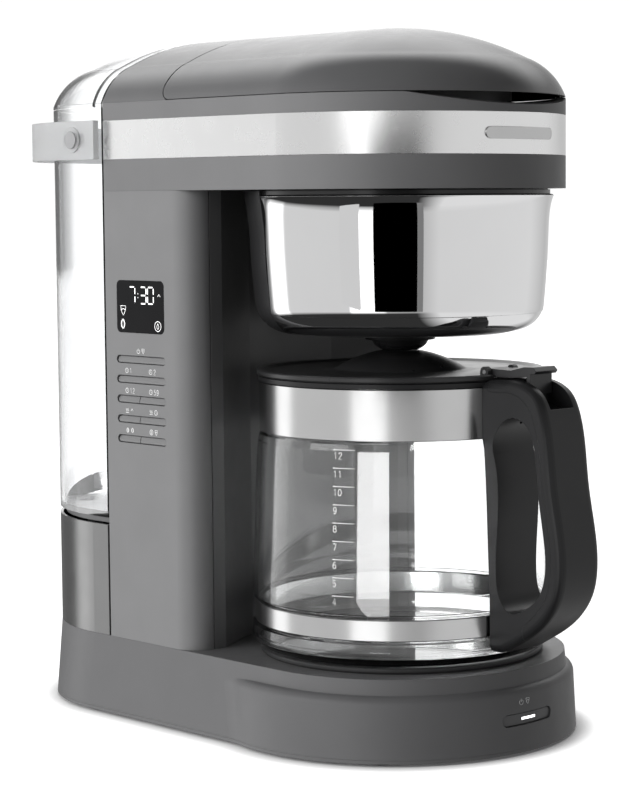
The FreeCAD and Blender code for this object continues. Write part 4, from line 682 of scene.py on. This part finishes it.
def figure(digit: str) -> list[Stroke]:
    """A seven-bar figure.

    Args:
        digit: The figure to draw.

    Returns:
        The figure's strokes.
    """
    w, h, g = CELL_WIDTH, CELL_HEIGHT, BAR_GAP
    bars = {
        "a": [(g, h), (w - g, h)], "b": [(w, h - g), (w, h / 2 + g)], "c": [(w, h / 2 - g), (w, g)],
        "d": [(g, 0), (w - g, 0)], "e": [(0, h / 2 - g), (0, g)], "f": [(0, h - g), (0, h / 2 + g)],
        "g": [(g, h / 2), (w - g, h / 2)],
    }
    return [bars[name] for name in SEGMENTS[digit]]


FIGURE_PITCH = 0.8
PRINTED: dict[str, list[Stroke]] = {
    "1": [[(0.1, 0.78), (0.3, 1.0), (0.3, 0.0)]],
    "2": [[(0.03, 0.75), (0.1, 0.93), (0.28, 1.0), (0.46, 0.92), (0.5, 0.74), (0.42, 0.55), (0.0, 0.0),
           (0.53, 0.0)]],
    "4": [[(0.4, 0.0), (0.4, 1.0), (0.0, 0.3), (0.55, 0.3)]],
    "5": [[(0.5, 1.0), (0.1, 1.0), (0.05, 0.55), (0.25, 0.63), (0.44, 0.56), (0.53, 0.36), (0.47, 0.12), (0.28, 0.0),
           (0.1, 0.03), (0.0, 0.14)]],
    "6": [[(0.47, 0.9), (0.3, 1.0), (0.12, 0.88), (0.02, 0.55), (0.03, 0.25), (0.15, 0.04), (0.32, 0.0), (0.48, 0.12),
           (0.52, 0.33), (0.43, 0.53), (0.27, 0.6), (0.1, 0.52), (0.03, 0.36)]],
    "7": [[(0.0, 1.0), (0.53, 1.0), (0.2, 0.0)]],
}


def printed(digit: str) -> list[Stroke]:
    """A figure drawn with round strokes, in a cell about 0.55 wide and 1 high.

    Args:
        digit: The figure to draw.

    Returns:
        The figure's strokes.
    """
    if digit == "0":
        return [ring((0.27, 0.5), 0.5, squash=0.54)]
    if digit == "8":
        return [ring((0.27, 0.76), 0.23), ring((0.27, 0.27), 0.27)]
    if digit == "9":
        return [[(0.54 - u, 1.0 - v) for u, v in stroke] for stroke in PRINTED["6"]]
    return PRINTED[digit]


def written(number: str) -> list[Stroke]:
    """A whole number in printed figures, from the left.

    Args:
        number: The number's figures.

    Returns:
        The number's strokes.
    """
    strokes = []
    for place, digit in enumerate(number):
        strokes += [[(u + place * FIGURE_PITCH, v) for u, v in stroke] for stroke in printed(digit)]
    return strokes


def cup_icon() -> list[Stroke]:
    """A cup with a band across it, in a cell 1 by 1."""
    bowl = [(0.1, 0.95), (0.9, 0.95), (0.85, 0.6), (0.7, 0.25), (0.5, 0.0), (0.3, 0.25), (0.15, 0.6), (0.1, 0.95)]
    return [bowl, [(0.15, 0.55), (0.5, 0.66), (0.85, 0.55)]]


def bean_icon() -> list[Stroke]:
    """A coffee bean with its furrow, in a cell 1 by 1.

    Returns:
        The outer and the inner line of each half.
    """
    lines = []
    for middle_gap, bulge, foot, length in ((0.06, 0.24, 0.0, 1.0), (0.08, 0.12, 0.08, 0.84)):
        for side in (-1, 1):
            lines.append([(0.5 + side * (middle_gap + bulge * math.sin(math.pi * i / 8)), foot + length * i / 8)
                          for i in range(9)])
    return lines


def drop_icon() -> list[Stroke]:
    """A drop in a ring, in a cell 1 by 1."""
    drop = [(0.5, 0.8), (0.66, 0.5), (0.62, 0.3), (0.5, 0.22), (0.38, 0.3), (0.34, 0.5), (0.5, 0.8)]
    return [ring((0.5, 0.5), 0.5), drop]


def power_icon() -> list[Stroke]:
    """An on and off mark: an open ring with a bar."""
    return [ring((0.5, 0.45), 0.42, start=-235, end=55, steps=14), [(0.5, 0.5), (0.5, 1.0)]]


def clock_icon() -> list[Stroke]:
    """A clock face with two hands."""
    return [ring((0.5, 0.5), 0.46), [(0.5, 0.82), (0.5, 0.5), (0.74, 0.38)]]


def heat_icon() -> list[Stroke]:
    """Three waves of warm air over a plate.

    Returns:
        The waves, and then the plate.
    """
    waves = []
    for x in (0.2, 0.5, 0.8):
        waves.append([(x + 0.07 * math.sin(2 * math.pi * i / 8), 0.3 + 0.6 * i / 8) for i in range(9)])
    return waves + [[(0.0, 0.08), (1.0, 0.08)]]


def arrow_icon() -> list[Stroke]:
    """A small arrow that points up."""
    return [[(0.15, 0.45), (0.5, 0.85), (0.85, 0.45)]]


@dataclass
class Display:
    """The clock display on the left side panel."""

    figure_height: float = 8.6 * MM
    figure_width: float = 0.7 * MM
    top_margin: float = 3.4 * MM
    figures: tuple[tuple[str, float], ...] = (("7", 0.27), ("3", 0.505), ("0", 0.66))
    colon: float = 0.452
    colon_rises: Point = (0.36, 0.60)
    icon_size: float = 5.2 * MM
    icon_width: float = 0.28 * MM
    arrow_size: float = 3.0 * MM

    def build(self) -> None:
        """Draws the lit figures and icons."""
        low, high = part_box("display_window")
        across = Vector((0, -1, 0))
        origin = Vector((low.x, high.y, low.z))
        wide = high.y - low.y
        tall = high.z - low.z
        figures = MarkSheet("display_figures", DISPLAY_LIT, self.figure_width)
        size = self.figure_height
        base = tall - size - self.top_margin
        for digit, share in self.figures:
            figures.add(figure(digit), (wide * share, base), size)
        for share in self.colon_rises:
            figures.add([[(0.0, 0.0), (0.03, 0.0)]], (wide * self.colon, base + size * share), size)
        figures.lay_on("display_window", origin, across, UP, "machine")
        icons = MarkSheet("display_icons", DISPLAY_LIT, self.icon_width)
        for icon, place in ((cup_icon(), (0.07, 0.33)), (bean_icon(), (0.06, 0.07)), (drop_icon(), (0.80, 0.05))):
            icons.add(icon, (wide * place[0], tall * place[1]), self.icon_size)
        icons.add(arrow_icon(), (wide * 0.86, base + size * 0.3), self.arrow_size)
        icons.lay_on("display_window", origin, across, UP, "machine")


@dataclass
class KeyMarks:
    """Small printed icons over the keys of the left side panel."""

    height: float = 2.7 * MM
    line: float = 0.36 * MM
    rise: float = 1.5 * MM
    flange: float = 1.2 * MM
    pitch: float = 1.45

    def build(self) -> None:
        """Prints the icons above each key."""
        marks = MarkSheet("panel_key_marks", PRINT_WHITE, self.line)
        low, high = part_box("brew_key")
        face = Vector((low.x, high.y, 0.0))
        near, centre, far = ((high.y - low.y) * share for share in (0.25, 0.5, 0.75))
        rows = {
            "brew_key": [(centre, [power_icon(), cup_icon()])],
            "preset_key": [(near, [clock_icon(), written("1")]), (far, [clock_icon(), written("2")])],
            "hour_key": [(near, [clock_icon(), written("12")]), (far, [clock_icon(), written("59")])],
            "plate_heat_key": [(near, [heat_icon(), arrow_icon()]), (far, [heat_icon(), clock_icon()])],
            "strength_key": [(near, [bean_icon(), bean_icon()]), (far, [drop_icon(), cup_icon()])],
        }
        for key, groups in rows.items():
            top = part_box(key)[1].z - self.flange
            for place, glyphs in groups:
                self.print_group(marks, glyphs, place, top + self.rise)
        marks.lay_on("control_panel", face, Vector((0, -1, 0)), UP, "machine")

    def print_group(self, marks: MarkSheet, glyphs: list, centre: float, base: float) -> None:
        """Puts some glyphs side by side.

        Args:
            marks: The sheet to print on.
            glyphs: Each glyph's strokes.
            centre: Where the group's middle lies along the panel.
            base: Height of the group's foot.
        """
        step = self.height * self.pitch
        start = centre - step * (len(glyphs) - 1) / 2 - self.height / 2
        for place, glyph in enumerate(glyphs):
            marks.add(glyph, (start + place * step, base), self.height)


@dataclass
class FrontKeyMarks:
    """The lit bar and the printed icons of the key on the base."""

    bar_length: float = 9.8 * MM
    bar_width: float = 1.2 * MM
    icon_size: float = 3.0 * MM
    icon_width: float = 0.4 * MM
    icon_rise: float = 7.0 * MM
    icon_places: Point = (-7.0 * MM, -2.5 * MM)

    def build(self) -> None:
        """Draws the bar and the icons."""
        low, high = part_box("start_key")
        across = Vector((1, 0, 0))
        origin = Vector(((low.x + high.x) / 2, low.y, (low.z + high.z) / 2))
        bar = MarkSheet("front_key_light", KEY_LIT, self.bar_width)
        steps = 8
        bar.add([[(-0.5 + i / steps, 0.0) for i in range(steps + 1)]], (0.0, 0.0), self.bar_length)
        bar.lay_on("start_key", origin, across, UP, "start_button")
        icons = MarkSheet("front_key_marks", PRINT_WHITE, self.icon_width)
        for icon, place in zip((power_icon(), cup_icon()), self.icon_places):
            icons.add(icon, (place, self.icon_rise), self.icon_size)
        icons.lay_on("base_housing", origin, across, UP, "machine")


@dataclass
class CupScale:
    """The printed cup scale on the carafe."""

    first: int = 4
    last: int = 12
    lowest: float = 80.9 * MM
    step: float = 9.0 * MM
    line_length: float = 11.6 * MM
    figure_height: float = 3.2 * MM
    line_width: float = 0.5 * MM
    figure_inset: float = 0.4 * MM
    figure_drop: float = 1.3 * MM
    direction: float = 202.7

    def build(self) -> None:
        """Prints a line and a figure for each cup."""
        scale = MarkSheet("cup_scale", PRINT_WHITE, self.line_width)
        for cups in range(self.first, self.last + 1):
            height = self.lowest + (cups - self.first) * self.step
            steps = 6
            line = [(i / steps, 0.0) for i in range(steps + 1)]
            scale.add([line], (-self.line_length / 2, height), self.line_length)
            foot = (self.figure_inset - self.line_length / 2, height - self.figure_height - self.figure_drop)
            scale.add(written(str(cups)), foot, self.figure_height)
        turn = math.radians(self.direction)
        outward = Vector((math.cos(turn), math.sin(turn), 0.0))
        across = UP.cross(outward)
        low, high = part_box("carafe_glass")
        radius = (high.x - low.x) / 2
        origin = brew_axis() + outward * radius
        scale.lay_on("carafe_glass", origin, across, UP, "carafe")


# ---------------- studio
# Pairs of a turn from the camera, in degrees, and the brightness there.
LIGHT_TURNS = ((-180, 0.8), (-120, 1.6), (-60, 2.2), (-30, 1.1), (5, 0.12), (80, 0.06), (130, 0.2), (180, 0.8))
MIRROR_TURNS = ((-180, 1.7), (-170, 1.3), (-163, 0.2), (-122, 0.2), (-117, 1.45), (-101, 1.45), (-98, 0.66),
                (-40, 0.64), (-39, 1.5), (-12, 1.5), (-10, 0.62), (14, 0.45), (30, 0.66), (120, 0.7), (150, 0.5),
                (168, 0.6), (180, 1.7))
# Each lamp's name, place, size and power.
LAMPS = (("left_soft_box", (-1.9, 0.5, 1.0), 1.3, 22.0), ("top_soft_box", (0.2, -0.1, 2.0), 1.4, 2.0))
# Each card's name, left and right edges, and brightness.
CARDS = (("black_card", -0.075, 0.050, 0.0), ("soft_card", 0.051, 0.068, 0.2), ("grey_card", -0.215, -0.126, 0.635))


@dataclass
class Studio:
    """Pale floor and soft light all round, with dark gaps that the bright metal mirrors."""

    floor_size: float = 14.0
    floor_depth: float = 0.02
    floor_glow: float = 0.85
    # Reach and steepness of the shadow painted into the floor's glow.
    contact_reach: float = 0.012
    contact_depth: float = 3.0
    camera_azimuth: float = 224.73
    sky: tuple[float, float] = (0.12, 0.12)
    ceiling: tuple[float, float] = (0.12, 2.1)
    ceiling_split: tuple[float, float] = (0.3, 0.62)
    ceiling_rise: tuple[float, float] = (0.35, 0.6)
    ground: tuple[float, float] = (0.03, 0.75)
    ground_split: tuple[float, float] = (0.22, 0.5)
    ground_fall: tuple[float, float] = (0.26, 0.38)
    plain: float = 1.05
    lamp_aim: float = 0.18
    card_depth: float = 0.004
    card_bevel: float = 0.02
    card_distance: float = 0.25
    card_low: float = 0.172
    card_high: float = 0.312
    strip_distance: float = 0.6
    strip_middle: float = -0.237
    strip_width: float = 0.29
    strip_low: float = -0.02
    strip_high: float = 0.178
    strip_power: float = 1.75
    tree: bpy.types.NodeTree | None = None

    def build(self) -> None:
        """Makes the floor and the light."""
        self.floor()
        self.surround()
        self.cards()
        self.lamps()
        self.glass_strip()

    def floor(self) -> None:
        """A wide pale floor slab with its top at the table's height. It glows evenly, and the shadow at the object's
        foot is painted into that glow by an ambient occlusion term.
        """
        obj = added("studio_floor", bpy.ops.mesh.primitive_plane_add, size=self.floor_size, location=(0, 0, 0))
        bpy.ops.object.mode_set(mode="EDIT")
        bpy.ops.mesh.subdivide(number_cuts=6)
        bpy.ops.mesh.extrude_region_move(TRANSFORM_OT_translate={"value": (0, 0, -self.floor_depth)})
        bpy.ops.object.mode_set(mode="OBJECT")
        desk = Desk("studio_floor_white")
        haze = desk.noise(desk.coordinates, scale=0.7, detail=2.0)
        desk.link(desk.shade(haze, (0.93, 0.93, 0.93), (0.95, 0.95, 0.95)), desk.shader.inputs["Base Color"])
        desk.shader.inputs["Roughness"].default_value = 0.6
        # Painted shadow: the floor's glow is dimmed where the object is near, by ambient occlusion rather than by
        # light.
        painted_contact_shadow = desk.tree.nodes.new("ShaderNodeAmbientOcclusion")
        painted_contact_shadow.inputs["Distance"].default_value = self.contact_reach
        open_share = arithmetic(desk.tree, "POWER", painted_contact_shadow.outputs["AO"], self.contact_depth)
        desk.shader.inputs["Emission Color"].default_value = (1, 1, 1, 1)
        glow = arithmetic(desk.tree, "MULTIPLY", open_share, self.floor_glow)
        desk.link(glow, desk.shader.inputs["Emission Strength"])
        dress(obj, desk.material)
        obj.visible_glossy = False
        obj.visible_diffuse = False

    def surround(self) -> None:
        """Soft light all round.

        One pattern lights surfaces, another is what bright metal mirrors, and the camera and clear
        pieces see a plain bright ground.
        """
        world = bpy.data.worlds.new("studio")
        bpy.context.scene.world = world
        world.use_nodes = True
        self.tree = world.node_tree
        self.tree.nodes.clear()
        place = self.tree.nodes.new("ShaderNodeTexCoord")
        apart = self.tree.nodes.new("ShaderNodeSeparateXYZ")
        self.tree.links.new(place.outputs["Generated"], apart.inputs["Vector"])
        turn = arithmetic(self.tree, "ARCTAN2", apart.outputs["Y"], apart.outputs["X"])
        start = math.radians(self.camera_azimuth - 180.0)
        turns = arithmetic(self.tree, "DIVIDE", arithmetic(self.tree, "SUBTRACT", turn, start), 2 * math.pi)
        share = arithmetic(self.tree, "FRACT", turns, 0.0)
        lit = self.walls(share, LIGHT_TURNS, place.outputs["Generated"], self.sky, None)
        mirrored = self.walls(share, MIRROR_TURNS, place.outputs["Generated"], self.ceiling, self.ground)
        plain = self.background(None, self.plain)
        paths = self.tree.nodes.new("ShaderNodeLightPath").outputs
        shader = self.choose(paths["Is Transmission Ray"], lit, plain)
        shader = self.choose(paths["Is Glossy Ray"], shader, mirrored)
        shader = self.choose(paths["Is Camera Ray"], shader, plain)
        output = self.tree.nodes.new("ShaderNodeOutputWorld")
        self.tree.links.new(shader, output.inputs["Surface"])

    def background(self, colour: bpy.types.NodeSocket | None, strength: float) -> bpy.types.NodeSocket:
        """One background shader.

        Args:
            colour: The colour, or None for white.
            strength: The shader's strength.

        Returns:
            The shader's output.
        """
        node = self.tree.nodes.new("ShaderNodeBackground")
        node.inputs["Color"].default_value = (1, 1, 1, 1)
        node.inputs["Strength"].default_value = strength
        if colour is not None:
            self.tree.links.new(colour, node.inputs["Color"])
        return node.outputs["Background"]

    def choose(self, share: bpy.types.NodeSocket, off: bpy.types.NodeSocket,
               on: bpy.types.NodeSocket) -> bpy.types.NodeSocket:
        """Picks one of two shaders by the kind of ray.

        Args:
            share: 1 for the rays that see the second shader.
            off: The first shader.
            on: The second shader.

        Returns:
            The chosen shader.
        """
        node = self.tree.nodes.new("ShaderNodeMixShader")
        self.tree.links.new(share, node.inputs["Fac"])
        self.tree.links.new(off, node.inputs[1])
        self.tree.links.new(on, node.inputs[2])
        return node.outputs["Shader"]

    def along(self, direction: bpy.types.NodeSocket, axis: Vector, start: float, end: float) -> bpy.types.NodeSocket:
        """How far a direction points along an axis, from 0 at one share of it to 1 at another.

        Args:
            direction: The direction looked in.
            axis: The axis, of length 1.
            start: Share of the axis that gives 0.
            end: Share of the axis that gives 1.

        Returns:
            The value, kept between 0 and 1.
        """
        dot = self.tree.nodes.new("ShaderNodeVectorMath")
        dot.operation = "DOT_PRODUCT"
        dot.inputs[1].default_value = axis
        self.tree.links.new(direction, dot.inputs[0])
        rise = self.tree.nodes.new("ShaderNodeMapRange")
        rise.inputs["From Min"].default_value = start
        rise.inputs["From Max"].default_value = end
        self.tree.links.new(dot.outputs["Value"], rise.inputs["Value"])
        return rise.outputs["Result"]

    def blend(self, share: bpy.types.NodeSocket, first: bpy.types.NodeSocket | float,
              second: bpy.types.NodeSocket | float) -> bpy.types.NodeSocket:
        """Mixes two greys.

        Args:
            share: The share of the second grey.
            first: A colour socket or a brightness.
            second: A colour socket or a brightness.

        Returns:
            The mixed colour.
        """
        mixed = self.tree.nodes.new("ShaderNodeMix")
        mixed.data_type = "RGBA"
        self.tree.links.new(share, mixed.inputs[0])
        for socket, value in ((mixed.inputs[6], first), (mixed.inputs[7], second)):
            if isinstance(value, bpy.types.NodeSocket):
                self.tree.links.new(value, socket)
            else:
                socket.default_value = (value, value, value, 1.0)
        return mixed.outputs[2]

    def walls(self, share: bpy.types.NodeSocket, turns: tuple, direction: bpy.types.NodeSocket,
              above: tuple[float, float], below: tuple[float, float] | None) -> bpy.types.NodeSocket:
        """Brightness by the turn round the object, with a ceiling and a ground.

        Args:
            share: The turn, from 0 behind the object through 0.5 at the camera to 1.
            turns: Pairs of a turn from the camera in degrees and the brightness there.
            direction: The direction looked in.
            above: Brightness of the ceiling's near and far halves.
            below: Brightness of the ground's left and right, or None where the walls run on downwards.

        Returns:
            The shader's output.
        """
        walls = self.tree.nodes.new("ShaderNodeValToRGB")
        ramp = walls.color_ramp
        while len(ramp.elements) > 1:
            ramp.elements.remove(ramp.elements[-1])
        brightest = max(max(value for _, value in turns), *above)
        for index, (turn, value) in enumerate(turns):
            place = (turn + 180.0) / 360.0
            element = ramp.elements[0] if index == 0 else ramp.elements.new(place)
            element.position = place
            element.color = (*(value / brightest,) * 3, 1.0)
        self.tree.links.new(share, walls.inputs["Fac"])
        toward, side = self.facing()
        split = self.along(direction, -toward, *self.ceiling_split)
        ceiling = self.blend(split, above[0] / brightest, above[1] / brightest)
        colour = self.blend(self.along(direction, UP, *self.ceiling_rise), walls.outputs["Color"], ceiling)
        if below is not None:
            split = self.along(direction, side, *self.ground_split)
            ground = self.blend(split, below[0] / brightest, below[1] / brightest)
            colour = self.blend(self.along(direction, -UP, *self.ground_fall), colour, ground)
        return self.background(colour, brightest)

    def facing(self) -> tuple[Vector, Vector]:
        """The camera's side of the object.

        Returns:
            The level directions from the brew axis to the camera, and to the camera's right.
        """
        turn = math.radians(self.camera_azimuth)
        toward = Vector((math.cos(turn), math.sin(turn), 0.0))
        return toward, Vector((-toward.y, toward.x, 0.0))

    def cards(self) -> None:
        """Narrow cards that only mirrors see, at the height that only the brew basket sees them."""
        toward, side = self.facing()
        centre = brew_axis() + toward * self.card_distance
        for name, left, right, brightness in CARDS:
            card = added(name, bpy.ops.mesh.primitive_cube_add, size=1.0, location=(0, 0, 0))
            bpy.ops.object.mode_set(mode="EDIT")
            bpy.ops.mesh.bevel(offset=self.card_bevel, segments=2)
            bpy.ops.object.mode_set(mode="OBJECT")
            for vertex in card.data.vertices:
                across, deep, high = vertex.co
                place = centre + side * (left + (across + 0.5) * (right - left)) + toward * (deep * self.card_depth)
                place.z = self.card_low + (high + 0.5) * (self.card_high - self.card_low)
                vertex.co = place
            desk = Desk(name)
            tone = desk.shade(desk.noise(desk.coordinates, 3.0, 1.0), (brightness,) * 3, (brightness * 0.97,) * 3)
            desk.link(tone, desk.shader.inputs["Emission Color"])
            desk.shader.inputs["Emission Strength"].default_value = 1.0
            desk.shader.inputs["Base Color"].default_value = (0, 0, 0, 1)
            desk.shader.inputs["Specular IOR Level"].default_value = 0.0
            dress(card, desk.material)
            for ray in ("camera", "shadow", "diffuse", "transmission"):
                setattr(card, f"visible_{ray}", False)

    def glass_strip(self) -> None:
        """The bright window that shows on the carafe's glass alone."""
        toward, side = self.facing()
        height = (self.strip_low + self.strip_high) / 2
        place = brew_axis() + toward * self.strip_distance + side * self.strip_middle + Vector((0, 0, height))
        lamp = added("glass_strip_light", bpy.ops.object.light_add, type="AREA", location=place)
        lamp.data.shape = "RECTANGLE"
        lamp.data.size = self.strip_width
        lamp.data.size_y = self.strip_high - self.strip_low
        lamp.data.energy = self.strip_power
        lamp.rotation_euler = (-toward).to_track_quat("-Z", "Y").to_euler()
        receivers = bpy.data.collections.new("glass_strip_receivers")
        receivers.objects.link(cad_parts["carafe_glass"])
        lamp.light_linking.receiver_collection = receivers

    def lamps(self) -> None:
        """Soft lamps: a broad one from the left and a weak one from above."""
        for name, place, size, power in LAMPS:
            lamp = added(name, bpy.ops.object.light_add, type="AREA", location=place)
            lamp.data.size = size
            lamp.data.energy = power
            aim = Vector((0, 0, self.lamp_aim)) - Vector(place)
            lamp.rotation_euler = aim.to_track_quat("-Z", "Y").to_euler()
            lamp.visible_glossy = False


@dataclass
class StudioCamera:
    """A long lens at the front left corner, a little above the object's middle."""

    azimuth: float = 224.7352
    distance: float = 1.19326
    height: float = 0.27503
    pitch: float = 4.9502
    roll: float = -0.3301
    focal_length: float = 104.05
    shift: float = -0.1051
    sensor: float = 36.0
    farthest: float = 60.0

    def build(self) -> None:
        """Adds the camera and makes it the scene's own."""
        camera = added("studio_camera", bpy.ops.object.camera_add)
        camera.data.lens = self.focal_length
        camera.data.sensor_width = self.sensor
        camera.data.shift_x = self.shift
        camera.data.clip_end = self.farthest
        side, dip, lean = (math.radians(angle) for angle in (self.azimuth, self.pitch, self.roll))
        toward = Vector((math.cos(side), math.sin(side), 0.0))
        back = toward * math.cos(dip) + Vector((0, 0, math.sin(dip)))
        level = Vector((-toward.y, toward.x, 0.0))
        right = level * math.cos(lean) + back.cross(level) * math.sin(lean)
        turn = Matrix((right, back.cross(right), back)).transposed().to_4x4()
        place = toward * self.distance + Vector((0, 0, self.height))
        camera.matrix_world = Matrix.Translation(brew_axis() + place) @ turn
        bpy.context.scene.camera = camera


def main() -> None:
    """Builds the looks, sub-assembly by sub-assembly."""
    logging.basicConfig(level=logging.INFO, format="%(name)s %(message)s")
    for part in (CarriedNodes(), BasketShell(), Display(), KeyMarks(), FrontKeyMarks(), CupScale(), Studio(),
                 StudioCamera()):
        part.build()
        LOG.info("%s done", type(part).__name__)
    bpy.context.scene.view_settings.view_transform = "Standard"


if __name__ == "__main__":
    main()
